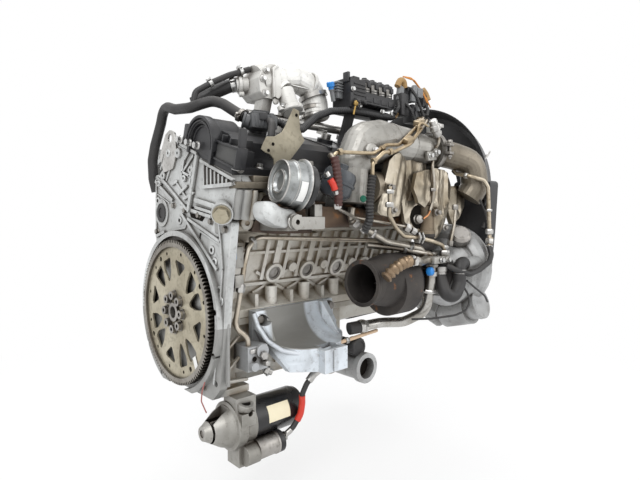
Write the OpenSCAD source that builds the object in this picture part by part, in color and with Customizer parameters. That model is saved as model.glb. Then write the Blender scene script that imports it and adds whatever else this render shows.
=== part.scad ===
// Inline six-cylinder diesel car engine with two-stage turbocharging, as lifted out of the car.
// X runs along the crankshaft, from the flexplate face at X = 0 to the belt end.
// Z is up as the engine sits in the car, and -Y is the exhaust side.
// The cylinder bank leans towards -Y; inside tilt() Y runs across the bank and Z along the bores.

/* [Crankshaft and flexplate] */
// Tip diameter of the starter ring gear
ring_od = 290; // [276:1:296]
// Number of ring gear teeth
ring_teeth = 120; // [100:2:136]
// Width of the ring gear along the crank
ring_w = 14; // [10:1:15]
// Height of a ring gear tooth
tooth_h = 5.5; // [4:0.5:7]
// Diameter of the seat where the ring gear is pressed on the flexplate
flex_d = 263; // [250:1:265]
// Thickness of the flexplate sheet
flex_t = 4; // [3:0.5:6]
// Diameter of the circle of crank bolts
crank_circle = 68; // [60:1:74]
// Number of crank bolts
crank_bolts_n = 8; // [6:1:10]
// Diameter of the crankshaft in its bearings
crank_d = 65; // [55:1:75]
// Diameter of the pilot bore in the end of the crankshaft
pilot_d = 24; // [18:1:30]
// Diameter of the circle of converter bolt holes
converter_circle = 240; // [236:1:244]
// Outer diameter of the damper pulley
damper_d = 150; // [130:1:160]

/* [Block and oil pan] */
// Distance between cylinders
bore_pitch = 91; // [86:1:94]
// Number of cylinders
cylinders = 6; // [4:1:6]
// Lean of the cylinder bank in degrees
slant = 20; // [10:1:24]
// Distance along the bores from the crank axis to the head gasket
deck_u = 225; // [210:1:240]
// Half the width of the block across the bank
bank_half = 66; // [60:1:72]
// Half the width of the crankcase at the pan joint
rail_half = 112; // [104:1:118]
// Height of the pan joint above the crank axis
pan_joint = -9; // [-14:1:-4]
// Height of the flat bottom of the oil pan
pan_bottom = -142; // [-160:1:-130]
// Diameter of the core plugs in the block side
plug_d = 30; // [24:1:34]
// Diameter of the axle tube through the oil pan
axle_tube_d = 58; // [50:1:64]

/* [Head and valve cover] */
// Height of the cylinder head along the bores
head_h = 90; // [80:1:100]
// Height of the valve cover along the bores
cover_h = 66; // [50:1:80]
// Diameter of the oil filler cap
filler_d = 56; // [46:1:64]

/* [Turbochargers] */
// Bore of the exhaust outlet
outlet_d = 78; // [74:1:82]
// Diameter of the low-pressure turbine wheel
turbine_d = 64; // [54:1:70]
// Diameter of the low-pressure compressor wheel
impeller_d = 88; // [72:1:92]
// Number of turbine blades
turbine_blades = 10; // [8:1:12]
// Outer diameter of the charge pipe
charge_d = 62; // [52:1:66]
// Diameter of the silver vacuum canister
canister_d = 92; // [80:1:98]

/* [Starter, mounts and accessories] */
// Diameter of the starter motor body
motor_d = 78; // [70:1:82]
// Diameter of the starter shaft
starter_shaft_d = 14; // [12:1:18]
// Teeth on the starter pinion
pinion_teeth = 10; // [9:1:12]
// Bolt bore in the support arm pad
arm_bore = 13; // [10:1:16]
// Diameter of the throttle bore
throttle_d = 60; // [50:1:66]
// Width of the drive belt
belt_w = 22; // [16:1:24]

/* [Hidden] */

$fn = 48;
// Radial clearance of a turning or sliding fit
fit = 0.05;
// Gap between pieces that must not touch
gap = 0.4;
// Small overlap that joins two shapes of one piece
eps = 0.5;

aluminium = [0.72, 0.72, 0.70];
cast_grey = [0.60, 0.60, 0.58];
steel = [0.45, 0.44, 0.42];
zinc_gold = [0.68, 0.62, 0.48];
plastic = [0.09, 0.09, 0.10];
rubber = [0.07, 0.07, 0.07];
burnt = [0.30, 0.24, 0.20];
shield = [0.62, 0.57, 0.48];
bronze = [0.62, 0.48, 0.28];

// Places along the crank
flex_x = 5;
flange_x = flex_x + flex_t;
// Spigot of the crankshaft that centres the flexplate
spigot_d = pilot_d + 14;
case_x = 17;
case_t = 15;
block_x = case_x + case_t;
block_end = block_x + (cylinders - 1) * bore_pitch + 147;
belt_x = block_end + 22;
first_plug_x = 173;

// Places on the leaning bank
head_u = deck_u + head_h;
cover_u = head_u + cover_h;
head_v0 = -98;
head_v1 = 118;
head_end = block_end - 4;
// How the pieces laid over the cover follow the height of the head
rise = (head_u - 315) * [0, -sin(slant), cos(slant)];
intake_v = 96;
port_u = deck_u + 24;
filler_x = 440;
filler_bore = 30;
manifold_y = 150;
manifold_z = 288;
function cylinder_x(i) = first_plug_x + (i - 0.5) * bore_pitch;

// Low-pressure turbocharger axis
turbo_y = -262;
turbo_z = 58;
// High-pressure turbocharger axis
small_y = -238;
small_z = 250;
down_y = -266;
// Mouth of the turbine outlet and back of the compressor wheel
outlet_x = 272;
impeller_x = 586;
// Vacuum canister axis
can_y = -262;
can_z = 240;
can_x = 66;
can_l = 44;
// Pivot of the belt tensioner, across and up
tens_pivot = [-20, 140];
// Starter axis
starter_y = -126;
starter_z = -205;
// Support arm pad
pad = [226, -212, -92];

// --- Shared shapes ---------------------------------------------------------

function unit(v) = v / norm(v);

// Points that round corner b of the path a, b, c with radius r in n steps, in the plane or in space
function corner(a, b, c, r, n) =
    let (
        u = unit(a - b),
        w = unit(c - b),
        half = acos(u * w) / 2,
        centre = b + unit(u + w) * r / sin(half),
        from = b + u * r / tan(half) - centre,
        to = b + w * r / tan(half) - centre,
        sweep = 180 - 2 * half
    )
    [for (i = [0:n]) centre + (sin((1 - i / n) * sweep) * from + sin(i / n * sweep) * to) / sin(sweep)];

// Closed outline p with every corner rounded
function rounded(p, r, n = 4) =
    let (m = len(p))
    [for (i = [0:m - 1]) each corner(p[(i + m - 1) % m], p[i], p[(i + 1) % m], r, n)];

// Open path p with its inner corners rounded
function bent(p, r, n = 4) =
    [p[0], for (i = [1:1:len(p) - 2]) each corner(p[i - 1], p[i], p[i + 1], r, n), p[len(p) - 1]];

function tangent(p, i) = unit(p[min(i + 1, len(p) - 1)] - p[max(i - 1, 0)]);

// A direction square to each point's tangent, carried along the path without twist
function normals(p) =
    let (t0 = tangent(p, 0), start = abs(t0.z) < 0.9 ? [0, 0, 1] : [0, 1, 0])
    [for (i = 0, n = unit(start - (start * t0) * t0); i < len(p);
        i = i + 1, t = tangent(p, min(i, len(p) - 1)), n = unit(n - (n * t) * t)) n];

// Solid of round section along path p, whose diameter at point i is d or d[i]
module sweep(p, d, sides = 12) {
    n = normals(p);
    rings = len(p);
    points = [for (i = [0:rings - 1]) let (t = tangent(p, i), b = cross(t, n[i]))
        for (k = [0:sides - 1])
            p[i] + (is_list(d) ? d[i] : d) / 2 * (cos(360 * k / sides) * n[i] + sin(360 * k / sides) * b)];
    skin = [for (i = [0:rings - 2], k = [0:sides - 1])
        let (a = i * sides + k, b = i * sides + (k + 1) % sides)
        [a, a + sides, b + sides, b]];
    first = [for (k = [0:sides - 1]) k];
    last = [for (k = [sides - 1:-1:0]) (rings - 1) * sides + k];
    polyhedron(points, concat(skin, [first, last]), convexity = 6);
}

// Bent pipe of diameter d through points p
module pipe(p, d, bend = 14, sides = 12) sweep(bent(p, bend), d, sides);

// Round bar between two points
module bar(a, b, d) {
    v = b - a;
    translate(a) rotate([0, acos(v.z / norm(v)), atan2(v.y, v.x)]) cylinder(d = d, h = norm(v));
}

// Children drawn in the YZ plane and extruded from x0 to x1
module along_x(x0, x1) translate([x0, 0, 0]) rotate([90, 0, 90]) linear_extrude(x1 - x0) children();

// Cylinder along X
module disc_x(x, y, z, d, h) translate([x, y, z]) rotate([0, 90, 0]) cylinder(d = d, h = h);

// Cylinder that points to -Y
module disc_y(x, y, z, d, h) translate([x, y, z]) rotate([90, 0, 0]) cylinder(d = d, h = h);

module tilt() rotate([slant, 0, 0]) children();

// Place across the car and up of a point given across the bank and along the bores
function world(v, u) = [v * cos(slant) - u * sin(slant), v * sin(slant) + u * cos(slant)];

// Ring round the straight run from a to b, at share t of its length
module collar(a, b, t, inner, thick, h) {
    v = b - a;
    translate(a + v * t) rotate([0, acos(v.z / norm(v)), atan2(v.y, v.x)]) translate([0, 0, -h / 2]) difference() {
        cylinder(d = inner + 2 * thick, h = h);
        translate([0, 0, -1]) cylinder(d = inner, h = h + 2);
    }
}

// Hexagon head with a round flange, standing on z = 0
module hex_head(d, h) {
    cylinder(d = d * 1.25, h = h * 0.25);
    cylinder(d = d, h = h, $fn = 6);
}

// --- Crankshaft and flexplate ----------------------------------------------

module crankshaft() {
    color(steel) difference() {
        union() {
            disc_x(flange_x, 0, 0, crank_circle + 26, block_x - gap - flange_x);
            disc_x(block_x - gap - eps, 0, 0, crank_d, belt_x + 12 - block_x);
            disc_x(0, 0, 0, spigot_d, flange_x + eps);
        }
        disc_x(-1, 0, 0, pilot_d, 32);
        for (i = [0:crank_bolts_n - 1])
            rotate([360 * i / crank_bolts_n, 0, 0]) disc_x(flange_x - 1, 0, crank_circle / 2, 10 + 2 * fit, 19);
    }
}

// Rounded window of the flexplate, given by radius and angle pairs
module window(polar, r) {
    polygon(rounded([for (c = polar) c[0] * [cos(c[1]), sin(c[1])]], r));
}

module flexplate() {
    windows = 4;
    color(zinc_gold) translate([flex_x, 0, 0]) rotate([0, 90, 0]) difference() {
        cylinder(d = flex_d - 2 * fit, h = flex_t, $fn = 96);
        translate([0, 0, -1]) linear_extrude(flex_t + 2) for (k = [0:windows - 1]) rotate(90 * k + 14) {
            window([[108, -14], [108, 14], [74, 0]], 5);
            window([[112, 23], [110, 41], [92, 43], [58, 34], [84, 24]], 5);
            window([[112, 67], [110, 49], [92, 47], [58, 56], [84, 66]], 5);
        }
        for (k = [0:3]) rotate(90 * k + 59) translate([converter_circle / 2, 0, -1]) cylinder(d = 10.5, h = flex_t + 2);
        for (k = [0:11]) rotate(30 * k + 44) translate([converter_circle / 2, 0, -1]) cylinder(d = 7, h = flex_t + 2);
        for (i = [0:crank_bolts_n - 1]) rotate(180 + 360 * i / crank_bolts_n)
            translate([crank_circle / 2, 0, -1]) cylinder(d = 10 + 2 * gap, h = flex_t + 2);
        translate([0, 0, -1]) cylinder(d = spigot_d + 2 * fit, h = flex_t + 2);
    }
}

module ring_gear() {
    pitch = 360 / ring_teeth;
    root = ring_od / 2 - tooth_h;
    function at(r, k) = r * [cos(k * pitch), sin(k * pitch)];
    color(steel) rotate([0, 90, 0]) linear_extrude(ring_w) difference() {
        polygon([for (i = [0:ring_teeth - 1])
            each [at(root, i - 0.3), at(ring_od / 2, i - 0.14), at(ring_od / 2, i + 0.14), at(root, i + 0.3)]]);
        circle(d = flex_d, $fn = 96);
    }
}

module crank_bolts() {
    color(steel) for (i = [0:crank_bolts_n - 1]) rotate([360 * i / crank_bolts_n, 0, 0])
        translate([flex_x, 0, crank_circle / 2]) rotate([0, -90, 0]) difference() {
            union() {
                cylinder(d = 21, h = 2);
                cylinder(d = 17, h = 9);
                translate([0, 0, -18]) cylinder(d = 10, h = 18 + eps);
            }
            translate([0, 0, 3]) cylinder(d = 9, h = 7, $fn = 6);
        }
}

module damper_pulley() {
    r = damper_d / 2;
    half = belt_w / 2 + 2;
    grooves = 6;
    rib = belt_w / grooves;
    color(steel) translate([belt_x, 0, 0]) rotate([0, 90, 0]) difference() {
        rotate_extrude($fn = 96) polygon(concat(
            [[crank_d / 2 + fit, -half], [r, -half], [r, 2 - half]],
            [for (i = [0:grooves - 1]) each [[r - 3, 2 - half + (i + 0.5) * rib], [r, 2 - half + (i + 1) * rib]]],
            [[r, half], [r - 12, half], [r - 16, half - 10], [crank_d / 2 + 16, half - 10], [crank_d / 2 + 10, half],
            [crank_d / 2 + fit, half]]));
        for (i = [0:5]) rotate(60 * i) translate([(crank_d / 2 + 10 + r - 14) / 2, 0, -half - 1]) cylinder(d = 12, h = 2 * half + 2);
    }
}

// --- Block, rear case and oil pan ------------------------------------------

// Outline of the bell housing face, across and up
bell = [
    [-172, 45], [-150, -124], [-124, pan_bottom - 8], [84, pan_bottom - 8], [150, -96], [168, 0],
    [150, 86], [110, 128], [108, 280], [98, 282], [-20, 214], [-196, 184]
];

module bell_face() polygon(rounded(bell, 8));

// Bolt holes round the bell housing face
bell_holes = [
    [-158, 58], [-153, 20], [-146, -60], [-136, -116], [70, pan_bottom + 4], [140, -90], [152, 20], [-150, 150], [-120, 120]
];

module rear_case_part(top) {
    color(aluminium) difference() {
        intersection() {
            union() {
                along_x(case_x, case_x + case_t) bell_face();
                along_x(6, case_x + eps) intersection() {
                    bell_face();
                    difference() {
                        circle(r = 163, $fn = 96);
                        circle(r = 153, $fn = 96);
                    }
                }
            }
            if (top) translate([0, -250, pan_joint]) cube([60, 500, 400]);
            else translate([0, -250, pan_joint - 300]) cube([60, 500, 300]);
        }
        for (h = bell_holes) translate([0, h.x, h.y]) rotate([0, 90, 0]) cylinder(d = 11, h = 60);
        disc_x(0, 0, 0, crank_circle + 26 + 2 * gap, 60);
    }
}

module rear_timing_case() {
    rear_case_part(true);
    color(aluminium) {
        // raised rim round the plug and stiffening ribs of the chain case
        difference() {
            disc_x(case_x - 3, 74, 200, 58, 4);
            disc_x(case_x - 4, 74, 200, 40 + 2 * fit, 10);
        }
        for (r = [[[-10, 212], [-132, 191]], [[-20, 196], [-150, 96]], [[100, 150], [60, 160]], [[20, 225], [100, 268]]])
            along_x(case_x - 5, case_x + eps) polygon([
                r[0] + 3 * unit([r[0].y - r[1].y, r[1].x - r[0].x]), r[0] - 3 * unit([r[0].y - r[1].y, r[1].x - r[0].x]),
                r[1] - 3 * unit([r[0].y - r[1].y, r[1].x - r[0].x]), r[1] + 3 * unit([r[0].y - r[1].y, r[1].x - r[0].x])]);
    }
}

module rear_plug() {
    color(rubber) translate([case_x - 5, 74, 200]) rotate([0, 90, 0]) difference() {
        cylinder(d = 40, h = 5);
        translate([0, 0, -1]) cylinder(d = 22, h = 3);
    }
}

module cylinder_block() {
    color(cast_grey) difference() {
        union() {
            along_x(block_x, block_end) {
                polygon(rounded([
                    [-rail_half, pan_joint], [-rail_half, 8], [-98, 14], [-70, 34], [30, 72], [96, 44], [rail_half, 8],
                    [rail_half, pan_joint]], 3));
                rotate(slant) polygon([
                    [-bank_half, 34], [-bank_half, deck_u - 32], [-bank_half - 20, deck_u - 18],
                    [-bank_half - 20, deck_u], [bank_half + 20, deck_u], [bank_half + 20, deck_u - 18],
                    [bank_half, deck_u - 32], [bank_half, 34]]);
            }
            exhaust_wall_ribs();
            // stud of the belt tensioner
            disc_x(block_end - eps, tens_pivot.x, tens_pivot.y, 12, 8);
            // main bearing columns down to the pan rail
            for (i = [0:cylinders - 2]) translate([first_plug_x + i * bore_pitch, -96, pan_joint]) cylinder(d = 26, h = 56);
            for (i = [0:cylinders - 1])
                translate([first_plug_x + (i - 0.5) * bore_pitch - 4, -rail_half + 2, pan_joint]) cube([8, 24, 44]);
        }
        disc_x(block_x - 1, 0, 0, crank_d + 2 * fit, block_end - block_x + 2);
        tilt() for (i = [0:cylinders - 2]) disc_y(first_plug_x + i * bore_pitch, -bank_half - 6, 107, plug_d + 2 * fit, 20);
    }
}

// Bosses, ribs and pipe columns cast on the exhaust side of the block
module exhaust_wall_ribs() {
    face = -bank_half;
    tilt() {
        for (i = [0:cylinders - 2]) {
            x = first_plug_x + i * bore_pitch;
            disc_y(x, face + 1, 107, plug_d + 12, 13);
            translate([x - 7, face - 9, 128]) cube([14, 10, deck_u - 32 - 128]);
            for (side = [-1, 1]) {
                translate([x + side * 27 - 4, face - 7, 92]) cube([8, 8, deck_u - 30 - 92]);
                translate([x, face - 5, 84]) rotate([0, side * 58, 0]) translate([-3, 0, 0]) cube([6, 6, 50]);
                translate([x, face - 5, 84]) rotate([0, side * 118, 0]) translate([-3, 0, 0]) cube([6, 6, 46]);
            }
            disc_y(x + bore_pitch / 2, face + 1, 118, 20, 14);
        }
        translate([block_x, face - 6, 80]) cube([block_end - block_x, 7, 7]);
        translate([block_x, face - 6, 150]) cube([block_end - block_x, 7, 6]);
        translate([block_x + 6, face - 16, 60]) cube([44, 17, 120]);
    }
}

module core_plugs() {
    color(steel) tilt() for (i = [0:cylinders - 2])
        translate([first_plug_x + i * bore_pitch, -bank_half - 6, 107]) rotate([90, 0, 0]) difference() {
            cylinder(d = plug_d, h = 4);
            translate([0, 0, 1.5]) cylinder(d = plug_d - 6, h = 3);
        }
}

module oil_pan() {
    sump_end = 376;
    color(aluminium) difference() {
        union() {
            rear_case_part(false);
            along_x(block_x, block_end) polygon([
                [-rail_half, pan_joint - 12], [-rail_half, pan_joint], [rail_half, pan_joint], [rail_half, pan_joint - 12]]);
            along_x(block_x - eps, sump_end) polygon(rounded([
                [-98, pan_joint - 8], [-98, pan_bottom + 24], [-84, pan_bottom], [80, pan_bottom], [96, -100],
                [96, pan_joint - 8]], 4));
            along_x(sump_end - eps, block_end - 20) polygon(rounded([
                [-70, pan_joint - 8], [-62, -66], [60, -66], [90, pan_joint - 8]], 4));
            // gusset webs from the bell flange along the rear of the pan
            for (y = [-128, -112]) hull() {
                translate([block_x - eps, y, pan_bottom]) cube([6, 5, 126]);
                translate([block_x + 40, y + 14, pan_bottom]) cube([4, 4, 8]);
                translate([block_x + 10, y + 10, pan_joint - 12]) cube([4, 4, 4]);
            }
            translate([block_x - eps, -132, pan_bottom - 4]) cube([60, 60, 12]);
            // rib pockets on the side wall
            for (x = [130:48:sump_end - 60]) translate([x, -104, pan_bottom + 26]) cube([6, 10, pan_joint - pan_bottom - 34]);
            disc_y(346, -70, -152 + 12, axle_tube_d + 18, 32);
        }
        disc_y(346, -76, -152 + 12, axle_tube_d + 2 * fit, 60);
        disc_x(0, 0, 0, crank_circle + 26 + 2 * gap, block_x);
        disc_x(block_x - 1, 0, 0, crank_d + 6, block_end - block_x + 2);
    }
}

module axle_tube() {
    color(cast_grey) difference() {
        union() {
            disc_y(346, -76, -140, axle_tube_d, 134);
            disc_y(346, -198, -140, axle_tube_d + 8, 14);
        }
        disc_y(346, -75, -140, axle_tube_d - 12, 140);
    }
}

module axle_cap() {
    color(rubber) {
        disc_y(334, -98, -82, 32, 74);
        disc_y(334, -170, -82, 44, 14);
        disc_y(334, -184 + eps, -82, 38, 6);
    }
}

// --- Cylinder head and valve cover -----------------------------------------

module cylinder_head() {
    color(aluminium) difference() {
        union() {
            tilt() along_x(block_x, head_end) polygon([
                [head_v0 + 22, deck_u], [head_v0 + 12, deck_u + 20], [head_v0 + 12, head_u - 16], [head_v0, head_u - 10],
                [head_v0, head_u], [head_v1, head_u], [head_v1, head_u - 12], [intake_v, head_u - 22], [intake_v, deck_u + 4],
                [intake_v - 8, deck_u]]);
            // chain housing at the rear, wider on the intake side
            along_x(case_x - 2, block_x) polygon(concat(
                rounded([[-212, 246], [-196, 188], [-20, 218], [98, 286]], 4),
                [world(head_v1, head_u - 0.05), world(head_v0, head_u - 0.05)]));
            tilt() along_x(block_x - eps, block_x + 22) polygon([
                [head_v0 - 22, deck_u + 24], [head_v0 - 17, head_u - 11], [head_v0, head_u - 2], [head_v0 + 38, head_u - 2],
                [head_v0 + 38, deck_u + 12], [head_v0 + 22, deck_u + 12]]);
            // wedge of ribs on the rear exhaust corner, over their border
            for (i = [0:6]) translate([case_x - 7, -114 - 13 * i, 248]) cube([8, 4.5, 38 - 5.2 * i]);
            translate([case_x - 7, -204, 242]) cube([8, 98, 6 + eps]);
            for (i = [0:1]) translate([case_x - 7, -60 + 34 * i, 254 + 13 * i]) rotate([slant, 0, 0]) cube([8, 5, 36]);
            // raised tensioner boss, turned to the rear and down
            intersection() {
                tensioner_axis() cylinder(d = 38, h = 46);
                translate([-60, -260, 150]) cube([58 + case_x + eps, 160, 100]);
            }
            tilt() for (i = [0:cylinders - 1]) {
                x = cylinder_x(i);
                disc_y(x, head_v0 + 14, port_u, 44, 12);
                translate([x + 30, head_v0 + 2, deck_u + 8]) cube([10, 16, head_h - 20]);
            }
        }
        tensioner_axis() translate([0, 0, 34]) cylinder(d = 26 + 2 * fit, h = 30);
    }
}

// Axis of the chain tensioner, which leans out of the rear exhaust corner
module tensioner_axis() translate([case_x + 11, -158, 207]) rotate([slant, 0, 0]) rotate([90, 0, -38]) children();

module chain_tensioner() {
    color(zinc_gold) tensioner_axis() {
        translate([0, 0, 34]) cylinder(d = 26, h = 12 + eps);
        translate([0, 0, 46]) cylinder(d = 32, h = 4);
        translate([0, 0, 50 - eps]) cylinder(d = 27, h = 11, $fn = 6);
    }
}

// Rounded arch over a cam sprocket, across and along the bores
module arch(v, r, h) {
    translate([v, head_u]) intersection() {
        union() {
            translate([0, h - r]) circle(r = r, $fn = 64);
            translate([-r, 0]) square([2 * r, h - r]);
        }
        translate([-r - 1, 0]) square([2 * r + 2, h + 1]);
    }
}

module valve_cover() {
    lip = 12;
    color(plastic) difference() {
        tilt() {
            along_x(case_x + 8, head_end - 6) polygon([
                [head_v0 + 3, head_u], [head_v0 + 3, head_u + lip], [head_v0 + 20, head_u + lip], [head_v0 + 26, head_u + 26],
                [-66, cover_u - 14], [-50, cover_u - 6], [62, cover_u - 6], [88, cover_u - 26], [head_v1 - 26, head_u + 22],
                [head_v1 - 21, head_u + lip], [head_v1 - 4, head_u + lip], [head_v1 - 4, head_u]]);
            // rear chain housing with its two arches
            along_x(case_x - 3, case_x + 50) arch(11, 50, cover_h + 8);
            along_x(case_x - 10, case_x) difference() {
                arch(11, 46, cover_h + 4);
                arch(11, 38, cover_h - 4);
            }
            // injector wells and stiffening bars over the crown
            for (i = [0:cylinders - 1]) translate([cylinder_x(i), 12, cover_u - 10]) cylinder(d = 36, h = 12);
            for (i = [1:cylinders - 2]) translate([cylinder_x(i) + bore_pitch / 2 - 4, -60, cover_u - 22]) cube([8, 116, 18]);
            translate([filler_x, 74, cover_u - 34]) cylinder(d = filler_d - 8, h = 30);
            // stepped panel beside the arch
            translate([case_x + 6, -84, head_u + lip]) cube([40, 36, 26]);
        }
        tilt() translate([filler_x, 74, cover_u - 20]) cylinder(d = filler_bore, h = 20);
    }
}

module filler_cap() {
    color(plastic) tilt() translate([filler_x, 74, cover_u - 4 + gap]) {
        cylinder(d = filler_d, h = 10);
        for (i = [0:2]) rotate(60 * i) translate([-filler_d / 2 + 4, -3, 10 - eps]) cube([filler_d - 8, 6, 5]);
        translate([0, 0, -10]) cylinder(d = filler_bore - 2 * gap, h = 10 + eps);
    }
}

module cover_bolts() {
    color(steel) tilt() for (i = [0:cylinders], v = [head_v0 + 11.5, head_v1 - 12.5])
        translate([first_plug_x + (i - 1) * bore_pitch - 6, v, head_u + 12]) hex_head(11, 6);
}

module fuel_rail() {
    rail_v = 50;
    rail_u = cover_u + 22;
    color(steel) tilt() {
        translate([120, rail_v, rail_u]) rotate([0, 90, 0]) cylinder(d = 20, h = 480);
        for (i = [0:cylinders - 1]) {
            translate([cylinder_x(i), 12, cover_u + 2]) cylinder(d = 22, h = 12);
            translate([cylinder_x(i) - 2, 14, cover_u + 8]) cube([5, rail_v - 20, 12]);
        }
        for (x = [cylinder_x(0) + 22, cylinder_x(4) + 64]) translate([x - 9, rail_v - 9, cover_u - 6]) cube([18, 18, 22]);
    }
}

module breather_hose() {
    color(rubber) {
        pipe([for (p = [[42, -20, 392], [46, -50, 410], [64, -72, 415], [68, -110, 400], [84, -140, 380]]) p + rise], 19);
        translate([84, -168, 356] + rise) rotate([0, 0, -12]) cube([56, 34, 28]);
    }
}

// Clips hold the harness along the exhaust side of the cover and over the elbow.
module wiring_harness() {
    color(rubber) translate(rise) {
        pipe([[150, -160, 374], [158, -172, 358], [188, -174, 362], [242, -160, 397], [292, -150, 416], [341, -158, 424],
            [442, -158, 426], [510, -158, 440]], 15);
        translate([504, -184, 432]) cube([48, 40, 66]);
        translate([552 - eps, -178, 424]) cube([44, 34, 54]);
        pipe([[590, -166, 440], [622, -190, 420], [640, -214, 350]], 14);
    }
}

module lifting_eyes() {
    color(steel) {
        translate([case_x - 6, 0, 0]) rotate([90, 0, 90]) linear_extrude(4) difference() {
            polygon(rounded([[13, 288], [-5, 318], [4, 360], [24, 367], [44, 360], [72, 318], [55, 283]], 8));
            translate([24, 350]) circle(d = 18);
        }
        // front eye: a foot on the end of the head carries an ear that reaches back over the cover
        tilt() along_x(head_end, head_end + 5)
            polygon(rounded([[-24, head_u - 50], [24, head_u - 50], [16, cover_u + 10], [-16, cover_u + 10]], 6));
        translate([head_end - 2, -129, 400]) rotate([90, 0, 0]) linear_extrude(5) difference() {
            polygon(rounded([[3, -72], [20, -72], [20, 4], [10, 17], [-12, 17], [-20, 6], [-20, -14], [3, -24]], 4));
            circle(d = 20);
        }
    }
}

// --- Intake side ------------------------------------------------------------

module intake_manifold() {
    color(plastic) {
        difference() {
            translate([96, manifold_y, manifold_z]) rotate([0, 90, 0]) linear_extrude(470) polygon(rounded([
                [-44, -40], [-44, 30], [30, 40], [54, 10], [40, -40]], 14));
            disc_x(95, manifold_y, manifold_z, throttle_d, 30);
        }
        tilt() for (i = [0:cylinders - 1]) translate([cylinder_x(i) - 22, intake_v, deck_u + 16]) cube([44, 120, 36]);
    }
}

module throttle_body() {
    color(aluminium) translate([50, manifold_y, manifold_z]) difference() {
        union() {
            disc_x(0, 0, 0, throttle_d + 16, 46);
            translate([36, -42, -42]) cube([10, 84, 84]);
            translate([4, 20, 10]) cube([34, 36, 50]);
        }
        disc_x(-1, 0, 0, throttle_d, 60);
        translate([22, 0, -throttle_d / 2 - 6]) cylinder(d = 8 + 2 * fit, h = throttle_d + 12);
    }
}

module throttle_flap() {
    color(steel) translate([72, manifold_y, manifold_z]) {
        translate([-1, 0, 0]) rotate([0, 90, 0]) cylinder(d = throttle_d - 2, h = 2);
        translate([0, 0, -throttle_d / 2 - 5]) cylinder(d = 8, h = throttle_d + 10);
    }
}

// Cast duct that leads recirculated gas over the rear of the valve cover
egr_path = [for (p = [[160, -68, 468], [214, -73, 486], [256, -78, 494], [296, -84, 482], [306, -91, 444], [304, -96, 412]])
    p + rise];
egr_d = 56;

module egr_duct() {
    path = bent(egr_path, 30);
    n = len(path) - 1;
    color(aluminium) {
        translate([150, -36, 420] + rise) rotate([90, 0, 0]) linear_extrude(66) polygon(rounded([
            [-4, 24], [-7, 52], [4, 72], [20, 84], [44, 86], [52, 34], [34, 14], [8, 13]], 6));
        translate([176, -36, 424] + rise) rotate([90, 0, 0]) linear_extrude(72) polygon(rounded([
            [2, 14], [0, 70], [10, 76], [18, 70], [20, 20], [12, 10]], 4));
        // body of the duct, which narrows to the tube
        sweep(path, [for (i = [0:n]) max(egr_d, 74 - 44 * i / n)], 24);
        bar([212, -98, 456] + rise, [216, -118, 408] + rise, 38);
        bar([204, -84, 470] + rise, [212, -98, 456] + rise, 42);
        // feet on the crown of the valve cover
        tilt() for (x = [172, 236]) along_x(x - 12, x + 12)
            polygon([[62, cover_u - 6], [88, cover_u - 26], [88, cover_u + 66], [62, cover_u + 66]]);
    }
}

module solenoid_bank() {
    color(plastic) {
        translate([338, -170, 432]) cube([10, 56, 64]);
        translate([348 - eps, -168, 452]) cube([41, 52, 44]);
        for (i = [0:3]) {
            translate([402 + 27 * i, -152, 447]) cylinder(d = 25, h = 49);
            translate([402 + 27 * i, -152, 496 - eps]) cylinder(d = 14, h = 10);
        }
        translate([388, -166, 448]) cube([104, 28, 24]);
        translate([346, -144, 424]) cube([152, 32, 20]);
        translate([346, -132, 442]) cube([146, 20, 20]);
        tilt() for (i = [2, 3]) translate([cylinder_x(i) + bore_pitch / 2 + 7, 8, cover_u - 6]) cube([16, 18, 84]);
    }
}

// --- Exhaust side -----------------------------------------------------------

// Cast log along the exhaust ports, with the flange of the high-pressure turbine
module exhaust_manifold() {
    log_v = head_v0 - 32;
    color(burnt) {
        tilt() {
            for (i = [0:cylinders - 1]) {
                disc_y(cylinder_x(i), head_v0 + 2 - gap, port_u, 40, 36);
                translate([cylinder_x(i) - 24, head_v0 - 6 - gap, port_u - 22]) cube([48, 8, 44]);
            }
            translate([cylinder_x(0) - 16, log_v, port_u]) rotate([0, 90, 0]) cylinder(d = 42, h = 5 * bore_pitch + 32);
        }
        translate([422, small_y - 6, 196]) cube([34, 40, 16]);
    }
}

module small_turbo() {
    color(cast_grey) {
        disc_x(316, small_y, small_z, 70, 48);
        disc_x(364 - eps, small_y, small_z, 50, 52);
        disc_x(415, small_y, small_z, 76, 50);
        disc_x(465 - eps, small_y, small_z, 52, 30);
        translate([422, small_y - 6, 212]) cube([34, 40, 10]);
        bar([440, small_y + 6, 218], [440, small_y, small_z], 44);
        bar([480, small_y, small_z], [480, down_y, 206], 42);
        bar([480, down_y, 214], [480, down_y, 152], 42);
        translate([480, down_y, 152]) cylinder(d = 46, h = 7);
        // flat pads for the studs of the two shields
        translate([332, -276, 242]) cube([16, 20, 16]);
        translate([478, -292, 192]) cube([16, 24, 16]);
    }
}

elbow_end = 507;
elbow_y = -262;
elbow_z = 340;

module charge_elbow() {
    path = bent([[268, -238, 218], [272, -238, 290], [300, -236, 338], [360, -238, 350], [430, -250, 345],
        [elbow_end - 34, elbow_y, elbow_z], [elbow_end, elbow_y, elbow_z]], 26, 3);
    n = len(path) - 1;
    // bulge of the scroll near the bend, then an even taper to the clamp
    function girth(t) = t < 0.4 ? 60 + 78 * t : 91.2 - (91.2 - charge_d + 4) * (t - 0.4) / 0.6;
    color(aluminium) {
        sweep(path, [for (i = [0:n]) girth(i / n)], 24);
        // lug that rests on the side of the valve cover
        tilt() along_x(392, 404) polygon([
            [-72, head_u + 26], [-67, head_u + 26 + 5 * 26 / 6], [-92, head_u + 70], [-118, head_u + 70], [-118, head_u + 45]]);
        disc_x(376, -240, 349, 84, 4);
        disc_x(384, -241, 349, 82, 4);
        disc_x(elbow_end - 6, elbow_y, elbow_z, charge_d + 8, 6);
    }
}

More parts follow.
